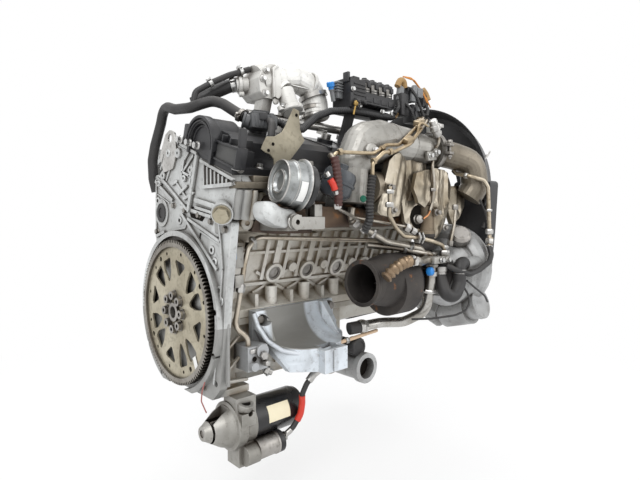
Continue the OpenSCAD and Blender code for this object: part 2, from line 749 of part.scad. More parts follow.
module charge_pipe() {
    color(aluminium) {
        pipe([[elbow_end, elbow_y, elbow_z], [elbow_end + 30, elbow_y, elbow_z], [566, -284, 332], [612, -306, 318], [616, -312, 262], [604, -300, 236]],
            charge_d, 34, 24);
        disc_x(elbow_end, elbow_y, elbow_z, charge_d + 8, 6);
    }
}

// Pressed sheet cover with turned-back sides, drawn in the XZ plane and facing -Y
module pressed_cover(outline, y, depth, dish) {
    middle = [for (k = [0:1]) let (s = [for (p = outline) p[k]]) (min(s) + max(s)) / 2];
    inner = [for (p = outline) middle + (p - middle) * (1 - 3.2 / norm(p - middle))];
    difference() {
        intersection() {
            translate([0, y + depth, 0]) rotate([90, 0, 0]) linear_extrude(depth + dish) polygon(rounded(outline, 3, 3));
            translate([middle.x, y + 240 - dish, middle.y - 200]) cylinder(r = 240, h = 400, $fn = 96);
        }
        intersection() {
            translate([0, y + depth + 1, 0]) rotate([90, 0, 0]) linear_extrude(depth + dish + 1) polygon(rounded(inner, 2, 3));
            translate([middle.x, y + 240 - dish, middle.y - 200]) cylinder(r = 238, h = 400, $fn = 96);
        }
    }
}

module heat_shield_rear() {
    color(shield) pressed_cover([
        [360, 322], [398, 324], [414, 298], [404, 262], [388, 218], [382, 192], [348, 188], [316, 194], [312, 208], [326, 240],
        [338, 280], [348, 308]], -279, 0, 10);
    color(shield) disc_y(340, -276, 250, 10, 13);
}

module heat_shield_front() {
    color(shield) pressed_cover([
        [478, 298], [532, 296], [572, 264], [562, 238], [530, 176], [498, 140], [466, 152], [476, 174], [464, 204], [474, 238]],
        -290, 0, 14);
    color(shield) disc_y(486, -292, 200, 10, 10);
}

module large_turbine_housing() {
    r = outlet_d / 2;
    color(burnt) difference() {
        union() {
            translate([outlet_x, turbo_y, turbo_z]) rotate([0, 90, 0]) rotate_extrude($fn = 96) polygon([
                [0, 0], [r + 8, 0], [r + 8, 6], [r + 4, 12], [r + 4, 26], [r + 12, 52], [r + 17, 74],
                [r + 17, 128], [r + 8, 146], [30, 152], [30, 214], [44, 218], [44, 262], [0, 262]]);
            disc_x(outlet_x + 70, turbo_y, turbo_z - 14, 2 * r + 42, 56);
            bar([outlet_x + 112, turbo_y + 10, turbo_z + 24], [480, down_y, 124], 42);
            translate([480, down_y, 116]) cylinder(d = 42, h = 32);
            translate([480, down_y, 145]) cylinder(d = 46, h = 7);
            // pad for the pipe manifold
            translate([434, -290, 76]) cube([24, 26, 16]);
        }
        translate([outlet_x, turbo_y, turbo_z]) rotate([0, 90, 0]) rotate_extrude($fn = 96) polygon([
            [0, -1], [r, -1], [r, 40], [turbine_d / 2 + 1, 66], [turbine_d / 2 + 1, 100], [12, 102],
            [6 + fit, 104], [6 + fit, 263], [0, 263]]);
    }
}

module large_rotor() {
    wheel_x = outlet_x + 70;
    color(steel) {
        disc_x(wheel_x, turbo_y, turbo_z, 12, impeller_x - wheel_x + 34);
        disc_x(wheel_x - 6, turbo_y, turbo_z, 18, 8);
        translate([wheel_x + 6, turbo_y, turbo_z]) rotate([0, 90, 0]) cylinder(d1 = 18, d2 = turbine_d - 8, h = 20);
        for (i = [0:turbine_blades - 1]) translate([wheel_x, turbo_y, turbo_z]) rotate([360 * i / turbine_blades, 0, 0])
            translate([2, -1, 4]) rotate([0, 0, 16]) cube([22, 2, turbine_d / 2 - 5]);
        translate([impeller_x, turbo_y, turbo_z]) rotate([0, 90, 0]) cylinder(d1 = impeller_d - 6, d2 = 16, h = 26);
        for (i = [0:7]) translate([impeller_x, turbo_y, turbo_z]) rotate([45 * i, 0, 0]) rotate([0, 0, -12])
            translate([0, 1, 0]) rotate([90, 0, 0]) linear_extrude(2)
                polygon([[1, 4], [1, impeller_d / 2 - 4], [9, impeller_d / 2 - 4], [25, impeller_d / 2 - 12], [25, 4]]);
    }
}

// Aluminium scroll that grows towards its outlet under the turbocharger
module large_compressor_housing() {
    turns = 26;
    back = impeller_x - 52;
    scroll = [for (i = [0:turns]) let (a = 50 + 300 * i / turns, r = 64 + 36 * i / turns)
        [impeller_x + 16, turbo_y - r * sin(a), turbo_z - r * cos(a)]];
    color(aluminium) difference() {
        union() {
            sweep(scroll, [for (i = [0:turns]) 56 + 36 * i / turns], 16);
            translate([back, turbo_y, turbo_z]) rotate([0, 90, 0]) rotate_extrude($fn = 96) polygon([
                [0, 0], [54, 0], [80, 24], [84, 60], [74, 88], [52, 98], [42, 104], [42, 116], [0, 116]]);
            bar(scroll[turns], [impeller_x + 16, -312, -22], 84);
            bar([impeller_x + 16, -311, -22], [impeller_x + 16, -340, -12], 66);
            bar([impeller_x + 16, -332, -14.5], [impeller_x + 16, -340, -12], 72);
            disc_x(spigot.x, spigot.y, spigot.z, 30, 50);
        }
        translate([back, turbo_y, turbo_z]) rotate([0, 90, 0]) rotate_extrude($fn = 96) polygon([
            [0, 50], [impeller_d / 2 + 1, 51], [impeller_d / 2 + 1, 62], [33, 84], [36, 117], [0, 117]]);
        disc_x(back - 1, turbo_y, turbo_z, 12 + 2 * fit, 60);
    }
}

// Plastic air duct arching over the front corner, open to the rear, with its pipe to the compressor
module intake_duct() {
    arch_y = -112;
    arch_z = 268;
    shell = [[100, 50], [100, 54], [184, 54], [198, 44], [212, 0], [208, 0], [194, 41], [182, 50]];
    mouth = impeller_x + 64;
    color(plastic) difference() {
        union() {
            translate([654, arch_y, arch_z]) rotate([0, 90, 0]) rotate([0, 0, 146]) rotate_extrude(angle = 138, $fn = 96)
                polygon(shell);
            disc_x(mouth, turbo_y, turbo_z, 88, 62);
            along_x(mouth + 22, mouth + 62) polygon(rounded([
                [-322, 280], [-222, 280], [-212, 160], [-218, 40], [-306, 40], [-316, 160]], 10));
        }
        disc_x(mouth - 1, turbo_y, turbo_z, 76, 52);
    }
}

// --- Actuators ---------------------------------------------------------------

module vacuum_canister() {
    r = canister_d / 2;
    color(aluminium) translate([can_x, can_y, can_z]) rotate([0, 90, 0]) difference() {
        rotate_extrude($fn = 96) polygon([
            [0, 0], [12, 0], [14, 3], [24, 4], [28, 0], [r - 6, 0], [r - 2, 3], [r - 2, 16], [r + 3, 17], [r + 3, 23],
            [r - 3, 24], [r - 5, can_l], [0, can_l]]);
        translate([0, 0, can_l - 34]) cylinder(d = 8 + 2 * fit, h = 40);
    }
}

rod_x = can_x + can_l;
lever_x = rod_x + 40;
lever_y = can_y + 10;
lever_z = can_z - 46;

module canister_bracket() {
    foot_z = can_z - canister_d / 2 - 26;
    color(aluminium) {
        difference() {
            union() {
                translate([can_x + 12, can_y - 10, foot_z]) cube([lever_x + 14 - can_x - 12, 20, 22]);
                // foot against the side of the deck
                along_x(can_x + 12, can_x + 34) polygon([
                    [can_y - 10, 166], [can_y - 10, 182], world(-bank_half - 20, deck_u - 3), world(-bank_half - 20, deck_u - 17)]);
                translate([can_x + 14, can_y - 16, foot_z + 20]) cube([24, 32, 12]);
                disc_y(can_x + 26, can_y + 14, foot_z + 13, 26, 34);
                translate([lever_x - 9, can_y - 8, foot_z + 20]) cube([18, 12, 24]);
            }
            disc_y(can_x + 26, can_y + 15, foot_z + 13, 9, 40);
            translate([can_x, can_y, can_z]) rotate([0, 90, 0]) cylinder(d = canister_d + 7, h = can_l);
        }
        disc_y(lever_x, can_y + 18, lever_z, 8, 20);
        // folded strap that holds the harness beside the canister
        translate([52, -201.5, 262]) rotate([90, 0, 0]) linear_extrude(3) polygon(rounded([
            [0, 2], [0, 42], [24, 64], [98, 80], [112, 130], [122, 128], [112, 70], [44, 30], [40, 2]], 3));
    }
}

module canister_rod() {
    color(steel) {
        disc_x(rod_x - 16, can_y, can_z, 8, 50);
        translate([lever_x - 6, can_y - 6, can_z - 7]) cube([12, 8, 14]);
        disc_y(lever_x, lever_y + 8, can_z, 6, lever_y + 8 - can_y);
    }
}

module canister_lever() {
    color(steel) translate([lever_x, lever_y + 2 * gap, lever_z]) difference() {
        rotate([90, 0, 0]) translate([0, 0, -6]) linear_extrude(5) polygon(rounded([
            [-9, -9], [9, -9], [10, 56], [-10, 56]], 3));
        disc_y(0, 20, 0, 8 + 2 * fit, 40);
        // slot for the pin of the rod
        translate([-3 - gap, -20, can_z - lever_z - 3 - gap]) cube([6 + 2 * gap, 40, 10]);
    }
}

module bypass_actuator() {
    color(plastic) {
        translate([200, -258, 248]) rotate([0, -14, 0]) {
            cylinder(d = 60, h = 14);
            cylinder(d = 54, h = 32);
            translate([0, 0, -30]) cylinder(d = 36, h = 32);
            translate([0, 0, 32 - eps]) cylinder(d = 20, h = 8);
        }
        bar([182, -274, 238], [172, -280, 262], 11);
        tilt() translate([190, -160, 288]) cube([20, 160 + head_v0 + 12, 10]);
    }
}

// Water spigot at the back of the compressor housing
spigot = [528, -338, 86];

// --- Pipes and hoses ----------------------------------------------------------

block_top = 104;

module coolant_pipes() {
    color(cast_grey) {
        pipe([[268, -246, 177], [298, -246, 166], [348, -262, 138], [426, -292, 122], [438, -292, 112], [438, -292, 100]], 15);
        pipe([[325, -230, 131], [379, -268, 125], [426, -293, 111], [459, -296, 108], [462, -296, 100]], 14, 12);
        pipe(water_path, 22, 20);
        pipe([[420, -176, 136], [99, -152, 152], [72, -152, 108], [62, -152, 55], [50, -150, -8], [76, -154, -34],
            [76, -154, -52]], 10, 10);
        // pipe manifold on the turbocharger
        translate([430, -326, block_top - 12]) cube([58, 43, 12]);
    }
}

water_path = [[318, -190, -52], [392, -212, -46], [424, -250, -44], [442, -298, -14], [442, -308, 50], [442, -308, 94]];
u_path = [[474, -310, 91.9], [474, -310, 54], [460, -330, 8], [478, -340, -2], [504, -340, 36], [508, -338, 86], spigot];

module oil_pipes() {
    color(bronze) {
        pipe([[202, -252, 300], [208, -256, 312], [276, -290, 312], [314, -291, 332], [352, -292, 336], [420, -284, 380],
            [564, -200, 434], [564, -178, 434]], 7, 8, 10);
        pipe([[266, -296, 266], [264, -298, 292], [290, -304, 314], [322, -304, 318], [372, -304, 338], [424, -294, 376],
            [580, -200, 430], [580, -178, 430]], 7, 8, 10);
        pipe([[318, -296, 220], [318, -294, 194], [364, -296, 150], [407, -304, 146], [440, -314, 138], [476, -316, 128],
            [483, -316, 116], [483, -316, block_top]], 9, 6, 10);
        pipe([[566, -284, 298.8], [566, -284, 292], [566, -330, 282], [602, -350, 268], [606, -356, 148], [600, -358, 122]], 9, 8, 10);
    }
}

module vacuum_pipes() {
    color(rubber) {
        pipe([[266, -296, 265], [256, -298, 214], [262, -290, 168], [262, -272, 172]], 13, 14, 12);
        pipe([[190.2, -258, 287.3], [187.8, -258, 297], [178, -276, 298], [174, -292, 276], [176, -294, 232], [180, -276, 210]], 9, 8, 10);
        pipe([[180, -275, 209], [248, -266, 188], [372, -292, 170], [398, -302, 156]], 6, 8, 10);
    }
}

module coolant_hoses() {
    color(rubber) {
        pipe(u_path, 28, 16, 16);
        pipe([[280, -322, 78], [311, -328, 98], [348, -330, 103], [384, -322, 96], [414, -312, 98], [429.9, -312, 98]], 18, 12, 14);
        pipe([[600, -359, 120.4], [592, -376, 92], [566, -376, 70], [540, -362, 62]], 12, 10, 12);
    }
}

module hose_clamps() {
    color(steel) {
        collar(egr_path[3], egr_path[4], 0.56, egr_d + 1, 5, 9);
        collar(u_path[0], u_path[1], 0.4, 28 + 1, 3, 10);
        collar(water_path[4], water_path[5], 0.4, 22 + 1, 3, 9);
        // V-band clamp round the two beads of the charge duct
        difference() {
            union() {
                disc_x(elbow_end - 7, elbow_y, elbow_z, charge_d + 18, 14);
                translate([elbow_end - 7, elbow_y - charge_d / 2 - 16, elbow_z - 12]) cube([14, 12, 24]);
            }
            disc_x(elbow_end - 8, elbow_y, elbow_z, charge_d + 8 + 2 * fit, 16);
        }
    }
}

// --- Support arm ---------------------------------------------------------------

module support_arm() {
    color(aluminium) difference() {
        union() {
            difference() {
                union() {
                    translate([106, -126, -62]) cube([220, 126 - rail_half, 68]);
                    // web that reaches down and out to the pad
                    hull() {
                        translate([110, -134, -34]) cube([190, 16, 36]);
                        translate([124, -128, -61]) cube([184, 10, 8]);
                        translate([300, -168, -78]) cube([12, 18, 16]);
                        translate([152, -184, -113]) cube([12, 14, 10]);
                        translate(pad + [-29, -8, -21]) cube([60, 10, 42]);
                    }
                }
                // scoop along the top, with a groove under its rim
                translate([131, -198, 8]) rotate([0, 90, 0]) cylinder(d = 150, h = 200, $fn = 96);
                bar([92, -148, -92], [204, -244, -94], 26);
            }
            // rim round the rear bolt and ridge on the far side
            hull() {
                translate([107.3, -134, -30]) cube([25.4, 16, 35.4]);
                translate([132, -158, -70]) cube([10, 12, 8]);
            }
            hull() {
                translate([284, -134, -30]) cube([15, 16, 35]);
                translate([301, -170, -77]) cube([11, 12, 15]);
            }
            translate(pad + [-30, -26, -22]) cube([62, 52, 46]);
            translate(pad + [-8, -29, -20]) cube([7, 8, 42]);
        }
        translate(pad + [0, 0, -40]) cylinder(d = arm_bore, h = 100);
        translate(pad + [-20, -18, 6]) cube([42, 36, 60]);
        for (p = arm_bolt_places) disc_y(p.x, -100, p.y, 10 + 2 * fit, 60);
        for (p = arm_bolt_places) disc_y(p.x, -125.4, p.y, 22.4, 60);
    }
}

arm_bolt_places = [[120, -12], [314, -8], [314, -46]];

module arm_bolts() {
    color(steel) for (p = arm_bolt_places) {
        disc_y(p.x, -rail_half - gap, p.y, 10, 125.4 - rail_half);
        translate([p.x, -125.4, p.y]) rotate([90, 0, 0]) hex_head(17, 9);
    }
}

module drain_valve() {
    color(aluminium) {
        translate([66, -168, -98]) cube([44, 40, 46]);
        disc_y(96, -166, -62, 26, 8);
        disc_y(76, -166, -88, 16, 12);
        bar([112, -150, -96], [122, -156, -116], 13);
        translate([80, -130, -92]) cube([26, 32, 34]);
    }
}

// --- Starter --------------------------------------------------------------------

module starter_housing() {
    color(aluminium) translate([0, starter_y, starter_z]) difference() {
        union() {
            translate([-8, 0, 0]) rotate([0, 90, 0]) rotate_extrude($fn = 64) polygon([
                [0, 0], [13, 0], [16, 6], [34, 34], [40, 50], [46, 52], [46, 72], [42, 76], [42, 96], [0, 96]]);
            translate([46, -34, 20]) cube([42, 46, pan_bottom - 4 - starter_z - 20]);
            translate([52, -30, -74]) cube([34, 40, 64]);
            translate([60, -34, -52]) rotate([0, 90, 0]) cylinder(d = 38, h = 28);
            translate([49, -46, 8]) cube([30, 26, 24]);
        }
        disc_x(-9, 0, 0, starter_shaft_d + 2 * fit, 30);
        disc_x(4, 0, 0, 44, 46);
        disc_x(40, 0, 0, starter_shaft_d + 2 * fit, 60);
        translate([6, -14, 2]) cube([34, 28, 60]);
        translate([52, -22, 34]) rotate([0, 0, 0]) disc_y(16, 40, -4, 10, 80);
    }
}

module starter_motor() {
    color(plastic) {
        disc_x(88, starter_y, starter_z, motor_d, 122);
        disc_x(88 + 122 - eps, starter_y, starter_z, motor_d - 8, 5);
        disc_x(88, starter_y - 34, starter_z - 52, 42, 65);
        disc_x(152, starter_y - 34, starter_z - 52, 36, 14);
        disc_x(165, starter_y - 34, starter_z - 44, 9, 12);
    }
}

module starter_pinion() {
    pitch = 360 / pinion_teeth;
    function at(r, k) = r * [cos(k * pitch), sin(k * pitch)];
    color(steel) translate([0, starter_y, starter_z]) {
        disc_x(-6, 0, 0, starter_shaft_d, 90);
        translate([14, 0, 0]) rotate([0, 90, 0]) linear_extrude(16) polygon([for (i = [0:pinion_teeth - 1])
            each [at(11, i - 0.3), at(15.5, i - 0.12), at(15.5, i + 0.12), at(11, i + 0.3)]]);
        disc_x(30 - eps, 0, 0, 28, 12);
    }
}

// Battery cable from the solenoid terminal up to its clip on the pan
module starter_cable() {
    color(rubber) pipe([[177 + gap, starter_y - 34, starter_z - 44], [185, starter_y - 34, starter_z - 44], [193, -167, -246], [193, -180, -232], [184, -184, -200],
        [188, -184, -160], [206, -186, -146], [226, -190, -122]], 12, 10, 12);
}

// --- Belt drive -------------------------------------------------------------------

alt_place = [168, 140];
ac_place = [150, -70];
tens_place = [36, 168];
pulleys = [[[0, 0], damper_d / 2], [ac_place, 56], [alt_place, 29], [tens_place, 34]];

// Outline of a band stretched round circles given as [centre, radius], anticlockwise
function tangent_angle(a, b) =
    atan2(b[0].y - a[0].y, b[0].x - a[0].x) - acos((a[1] - b[1]) / norm(b[0] - a[0]));
function band(c, grow) =
    let (m = len(c))
    [for (i = [0:m - 1])
        let (
            start = tangent_angle(c[(i + m - 1) % m], c[i]),
            raw = tangent_angle(c[i], c[(i + 1) % m]),
            end = raw < start ? raw + 360 : raw
        )
        for (k = [0:12]) let (a = start + (end - start) * k / 12) c[i][0] + (c[i][1] + grow) * [cos(a), sin(a)]];

module drive_belt() {
    color(rubber) translate([belt_x - belt_w / 2, 0, 0]) rotate([90, 0, 90]) linear_extrude(belt_w) difference() {
        polygon(band(pulleys, gap + 4));
        polygon(band(pulleys, gap));
    }
}

module grooved_pulley(place, r, bore) {
    translate([belt_x, place.x, place.y]) rotate([0, 90, 0]) rotate_extrude($fn = 64) polygon([
        [bore / 2 + fit, -belt_w / 2 - 1], [r, -belt_w / 2 - 1], [r, belt_w / 2 + 1], [r - 5, belt_w / 2 + 1],
        [r - 5, 2], [bore / 2 + 7, 2], [bore / 2 + 7, belt_w / 2], [bore / 2 + fit, belt_w / 2]]);
}

module alternator() {
    color(cast_grey) {
        disc_x(belt_x - 120, alt_place.x, alt_place.y, 128, 98);
        disc_x(belt_x - 24, alt_place.x, alt_place.y, 17, 40);
        disc_x(belt_x - 134, alt_place.x, alt_place.y, 90, 15);
        tilt() translate([belt_x - 110, bank_half, 90]) cube([70, 100, 20]);
    }
}

module alternator_pulley() { color(steel) grooved_pulley(alt_place, 29, 17); }

module ac_compressor() {
    color(aluminium) {
        disc_x(belt_x - 190, ac_place.x, ac_place.y, 116, 168);
        disc_x(belt_x - 24, ac_place.x, ac_place.y, 30, 40);
        translate([belt_x - 160, rail_half, pan_joint - 12]) cube([110, 26, 11]);
    }
}

module ac_pulley() { color(steel) grooved_pulley(ac_place, 56, 30); }

module tensioner_arm() {
    color(aluminium) difference() {
        union() {
            disc_x(block_end + gap, tens_pivot.x, tens_pivot.y, 44, belt_x - belt_w / 2 - 3 - block_end - gap);
            translate([block_end + gap, 0, 0]) rotate([90, 0, 90]) linear_extrude(8) polygon(rounded([
                [-38, 130], [-20, 122], [44, 156], [46, 178], [28, 184], [-34, 156]], 5));
            disc_x(block_end + gap, tens_place.x, tens_place.y, 16, belt_x + belt_w / 2 - block_end);
        }
        disc_x(block_end, tens_pivot.x, tens_pivot.y, 12 + 2 * fit, 40);
    }
}

module tensioner_pulley() { color(plastic) grooved_pulley(tens_place, 34, 16); }

// --- Parts ---------------------------------------------------------------------------

crankshaft();
flexplate();
ring_gear();
crank_bolts();
damper_pulley();
cylinder_block();
core_plugs();
rear_timing_case();
rear_plug();
oil_pan();
axle_tube();
axle_cap();
cylinder_head();
chain_tensioner();
valve_cover();
cover_bolts();
filler_cap();
fuel_rail();
breather_hose();
wiring_harness();
lifting_eyes();
intake_manifold();
throttle_body();
throttle_flap();
egr_duct();
solenoid_bank();
exhaust_manifold();
small_turbo();
charge_elbow();
charge_pipe();
heat_shield_rear();
heat_shield_front();
large_turbine_housing();
large_compressor_housing();
large_rotor();
intake_duct();
vacuum_canister();
canister_bracket();
canister_rod();
canister_lever();
bypass_actuator();
coolant_pipes();
oil_pipes();
vacuum_pipes();
coolant_hoses();
hose_clamps();
support_arm();
arm_bolts();
drain_valve();
starter_housing();
starter_motor();
starter_pinion();
starter_cable();
drive_belt();
alternator();
alternator_pulley();
ac_compressor();
ac_pulley();
tensioner_arm();
tensioner_pulley();
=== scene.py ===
import math

import bpy
import bmesh
from mathutils import Matrix, Vector
from mathutils.geometry import delaunay_2d_cdt


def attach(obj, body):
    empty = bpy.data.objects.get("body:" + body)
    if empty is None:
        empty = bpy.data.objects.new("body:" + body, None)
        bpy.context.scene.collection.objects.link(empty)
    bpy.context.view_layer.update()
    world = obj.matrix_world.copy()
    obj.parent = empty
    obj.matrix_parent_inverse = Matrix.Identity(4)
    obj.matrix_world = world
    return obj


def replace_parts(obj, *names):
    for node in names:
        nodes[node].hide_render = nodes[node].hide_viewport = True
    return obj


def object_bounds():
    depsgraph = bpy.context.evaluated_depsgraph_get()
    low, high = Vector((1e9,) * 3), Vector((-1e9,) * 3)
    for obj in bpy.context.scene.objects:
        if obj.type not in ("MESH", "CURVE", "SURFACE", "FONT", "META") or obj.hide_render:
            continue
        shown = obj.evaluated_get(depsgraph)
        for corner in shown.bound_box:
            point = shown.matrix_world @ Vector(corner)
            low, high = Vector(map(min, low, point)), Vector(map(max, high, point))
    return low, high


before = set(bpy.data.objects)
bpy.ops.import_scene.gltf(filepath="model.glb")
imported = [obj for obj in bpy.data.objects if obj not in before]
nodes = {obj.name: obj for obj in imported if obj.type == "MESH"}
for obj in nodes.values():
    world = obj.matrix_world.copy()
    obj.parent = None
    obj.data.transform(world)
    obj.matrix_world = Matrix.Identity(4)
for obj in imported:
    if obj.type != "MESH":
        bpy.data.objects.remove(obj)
cad_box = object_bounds()
MM = 0.001


# ---------------------------------------------------------------------------
# Studio: a pale floor well under the hanging engine, a white sky, one large
# soft lamp from the upper left, weaker ones from the right, above and behind.

def node(tree, kind, inputs=None, **settings):
    """One node with its settings; each input is a value, or a socket to link from."""
    made = tree.nodes.new(kind if "Node" in kind else "ShaderNode" + kind)
    for key, value in settings.items():
        setattr(made, key, value)
    for key, value in (inputs or {}).items():
        if isinstance(value, bpy.types.NodeSocket):
            tree.links.new(value, made.inputs[key])
        else:
            made.inputs[key].default_value = value
    return made


def calc(tree, operation, *values):
    """Result of a maths node on numbers or sockets."""
    return node(tree, "Math", dict(enumerate(values)), operation=operation).outputs[0]


def finish(name, metallic, roughness):
    """New material with its Principled shader; returns material, tree and shader."""
    mat = bpy.data.materials.new(name)
    mat.use_nodes = True
    shader = mat.node_tree.nodes["Principled BSDF"]
    shader.inputs["Metallic"].default_value = metallic
    shader.inputs["Roughness"].default_value = roughness
    return mat, mat.node_tree, shader


def seen_white(tree, lit, strength):
    """Blends a lit shader towards plain white where the camera, metal or glass looks at it."""
    ray = node(tree, "LightPath").outputs
    mirrored = calc(tree, "MAXIMUM", ray["Is Glossy Ray"], ray["Is Transmission Ray"])
    share = calc(tree, "MULTIPLY", calc(tree, "MAXIMUM", ray["Is Camera Ray"], mirrored), strength)
    return node(tree, "MixShader", {0: share, 1: lit, 2: node(tree, "Emission").outputs[0]}).outputs[0]


FLOOR_DROP = 0.12       # from the lowest point of the engine, in metres
FLOOR_HALF = 14
MIDDLE = Vector((0.3, -0.1, 0.1))

# The floor keeps a soft shadow under the engine and fades to white away from it.
pale, tree, shader = finish("pale floor", 0.0, 0.9)
shader.inputs["Base Color"].default_value = (0.86, 0.86, 0.86, 1)
away = node(tree, "VectorMath", {0: node(tree, "TexCoord").outputs["Object"]}, operation="LENGTH")
fade = node(
    tree, "MapRange",
    {"Value": away.outputs["Value"], "From Min": 0.35, "From Max": 1.5, "To Min": 0.72, "To Max": 1.0})
tree.links.new(seen_white(tree, shader.outputs[0], fade.outputs[0]), tree.nodes["Material Output"].inputs["Surface"])
floor_mesh = bpy.data.meshes.new("floor")
floor_shape = bmesh.new()
bmesh.ops.create_grid(floor_shape, x_segments=1, y_segments=1, size=FLOOR_HALF)
floor_shape.to_mesh(floor_mesh)
floor_shape.free()
floor_mesh.materials.append(pale)
floor = bpy.data.objects.new("floor", floor_mesh)
floor.location = (MIDDLE.x, 0, cad_box[0][2] - FLOOR_DROP)
bpy.context.scene.collection.objects.link(floor)

world = bpy.data.worlds.new("studio sky")
bpy.context.scene.world = world
world.use_nodes = True
sky = world.node_tree.nodes["Background"]
sky.inputs["Color"].default_value = (0.98, 0.99, 1.0, 1)
sky.inputs["Strength"].default_value = 0.8
world.node_tree.links.new(
    seen_white(world.node_tree, sky.outputs[0], 1.0), world.node_tree.nodes["World Output"].inputs["Surface"])

for name, place, size, power in (("key lamp", (-1.9, -1.7, 2.3), 1.6, 50), ("fill lamp", (1.5, -2.6, 1.2), 2.2, 20),
                                 ("top lamp", (0.3, 0.3, 2.9), 1.6, 26), ("rear lamp", (2.6, 1.6, 1.6), 2.0, 20)):
    data = bpy.data.lights.new(name, "AREA")
    data.energy = power
    data.size = size
    lamp = bpy.data.objects.new(name, data)
    bpy.context.scene.collection.objects.link(lamp)
    lamp.location = place
    lamp.rotation_euler = (MIDDLE - Vector(place)).to_track_quat("-Z", "Y").to_euler()

# The camera stands behind and to the exhaust side of the engine, level with the head.
CAMERA_PLACE = (-0.428, -0.900, 0.187)
CAMERA_LENS = 26.88
yaw, pitch, roll = math.radians(47.29), math.radians(-2.57), math.radians(-0.15)
ahead = Vector((math.cos(yaw) * math.cos(pitch), math.sin(yaw) * math.cos(pitch), math.sin(pitch)))
right = Vector((math.sin(yaw), -math.cos(yaw), 0))
up = right.cross(ahead)
turned_right = right * math.cos(roll) + up * math.sin(roll)
turned_up = up * math.cos(roll) - right * math.sin(roll)
camera_data = bpy.data.cameras.new("camera")
camera_data.lens = CAMERA_LENS
camera_data.sensor_width = 36
camera_data.clip_start = 0.01
camera = bpy.data.objects.new("camera", camera_data)
bpy.context.scene.collection.objects.link(camera)
camera.matrix_world = Matrix.Translation(CAMERA_PLACE) @ Matrix(
    (turned_right, turned_up, -ahead)).transposed().to_4x4()
bpy.context.scene.camera = camera
bpy.context.scene.view_settings.view_transform = "Standard"


# ---------------------------------------------------------------------------
# Castings: the block, head, rear case, pan and brackets are sand- or die-cast
# aluminium, left raw. Their skin is slightly grainy, and oil and road dirt
# have run down the flat walls and spotted them; the corners carry painted
# shade and the edges a painted highlight.

def ramp(tree, source, stops):
    """Colour ramp driven by source, with stops given as (place, colour or grey)."""
    made = tree.nodes.new("ShaderNodeValToRGB")
    tree.links.new(source, made.inputs["Fac"])
    elements = made.color_ramp.elements
    while len(elements) < len(stops):
        elements.new(0.5)
    for element, (place, colour) in zip(elements, stops):
        element.position = place
        element.color = (*colour, 1) if isinstance(colour, tuple) else (colour, colour, colour, 1)
    return made.outputs["Color"]


def mix(tree, share, a, b, blend="MIX"):
    """Mix of two colours; share, a and b are numbers, colours or sockets."""
    a, b = ((*c, 1) if isinstance(c, tuple) else c for c in (a, b))
    return node(tree, "Mix", {0: share, 6: a, 7: b}, data_type="RGBA", blend_type=blend).outputs[2]


def noise(tree, scale, detail, stretch=(1, 1, 1), roughness=0.55):
    """Noise pattern fixed to the object, in features per metre; stretch squeezes it along an axis."""
    place = tree.nodes.get("place") or node(tree, "TexCoord", name="place")
    mapped = node(tree, "Mapping", {"Vector": place.outputs["Object"], "Scale": stretch}).outputs[0]
    cloud = {"Vector": mapped, "Scale": scale, "Detail": detail, "Roughness": roughness}
    return node(tree, "TexNoise", cloud).outputs["Fac"]


def bump(tree, shader, height, strength, distance, soft_edge):
    """Bump on the shader, with its edges seen as rounded over soft_edge metres."""
    edge = node(tree, "Bevel", {"Radius": soft_edge}, samples=4).outputs["Normal"]
    made = node(tree, "Bump", {"Height": height, "Strength": strength, "Distance": distance, "Normal": edge})
    tree.links.new(made.outputs["Normal"], shader.inputs["Normal"])


def corners(tree, reach):
    """1 on open surfaces and 0 deep in corners, over reach metres."""
    return node(tree, "AmbientOcclusion", {"Distance": reach}, samples=6).outputs["AO"]


def edges(tree, width):
    """1 on the outer edges and crests of a shape and 0 on its flats, over width metres."""
    rounded = node(tree, "Bevel", {"Radius": width}, samples=4)
    plain = node(tree, "NewGeometry")
    alike = node(tree, "VectorMath", {0: rounded.outputs["Normal"], 1: plain.outputs["Normal"]},
                 operation="DOT_PRODUCT")
    return ramp(tree, alike.outputs["Value"], [(0.72, 1.0), (0.985, 0.0)])


def cast_metal(name, light, dark, dirt_and_shade, shade_reach, grain=0.25, metallic=0.5, rough=(0.4, 0.62), highlight_share=0.45,
               soiled=0.5):
    """Raw casting: light and dark skin, painted highlight on the edges, painted shade in the corners, dirty spots and
    runs, fine grain.
    """
    mat, tree, shader = finish(name, metallic, 0.5)
    blotch = noise(tree, 9, 7)
    skin = mix(tree, ramp(tree, blotch, [(0.36, 0.0), (0.66, 1.0)]), dark, light)
    spots = noise(tree, 95, 5, roughness=0.7)
    skin = mix(tree, ramp(tree, spots, [(0.55, 0.0), (0.72, soiled)]), skin, dirt_and_shade)
    streak = noise(tree, 21, 7, (1, 1, 0.5))
    skin = mix(tree, ramp(tree, streak, [(0.5, 0.0), (0.8, soiled)]), skin, dirt_and_shade)
    # Painted highlight: edges and crests are lightened towards a brighter copy of the light skin.
    edge_highlight = tuple(min(0.9, 1.25 * c + 0.08) for c in light)
    share = mix(tree, 1.0, edges(tree, 0.0022), (highlight_share, highlight_share, highlight_share), "MULTIPLY")
    skin = mix(tree, share, skin, edge_highlight)
    # Painted shade: corners are darkened towards the same dark colour as the dirty spots and runs.
    shade = ramp(tree, corners(tree, shade_reach), [(0.3, 0.95), (0.8, 0.0)])
    tree.links.new(mix(tree, shade, skin, dirt_and_shade), shader.inputs["Base Color"])
    tree.links.new(ramp(tree, blotch, [(0.3, rough[1]), (0.7, rough[0])]), shader.inputs["Roughness"])
    bump(tree, shader, noise(tree, 620, 3), grain, 0.0006, 0.0012)
    return mat


def coat(material, *names):
    """Gives CAD nodes, or pieces, one material."""
    for name in names:
        mesh = (nodes[name] if isinstance(name, str) else name).data
        mesh.materials.clear()
        mesh.materials.append(material)
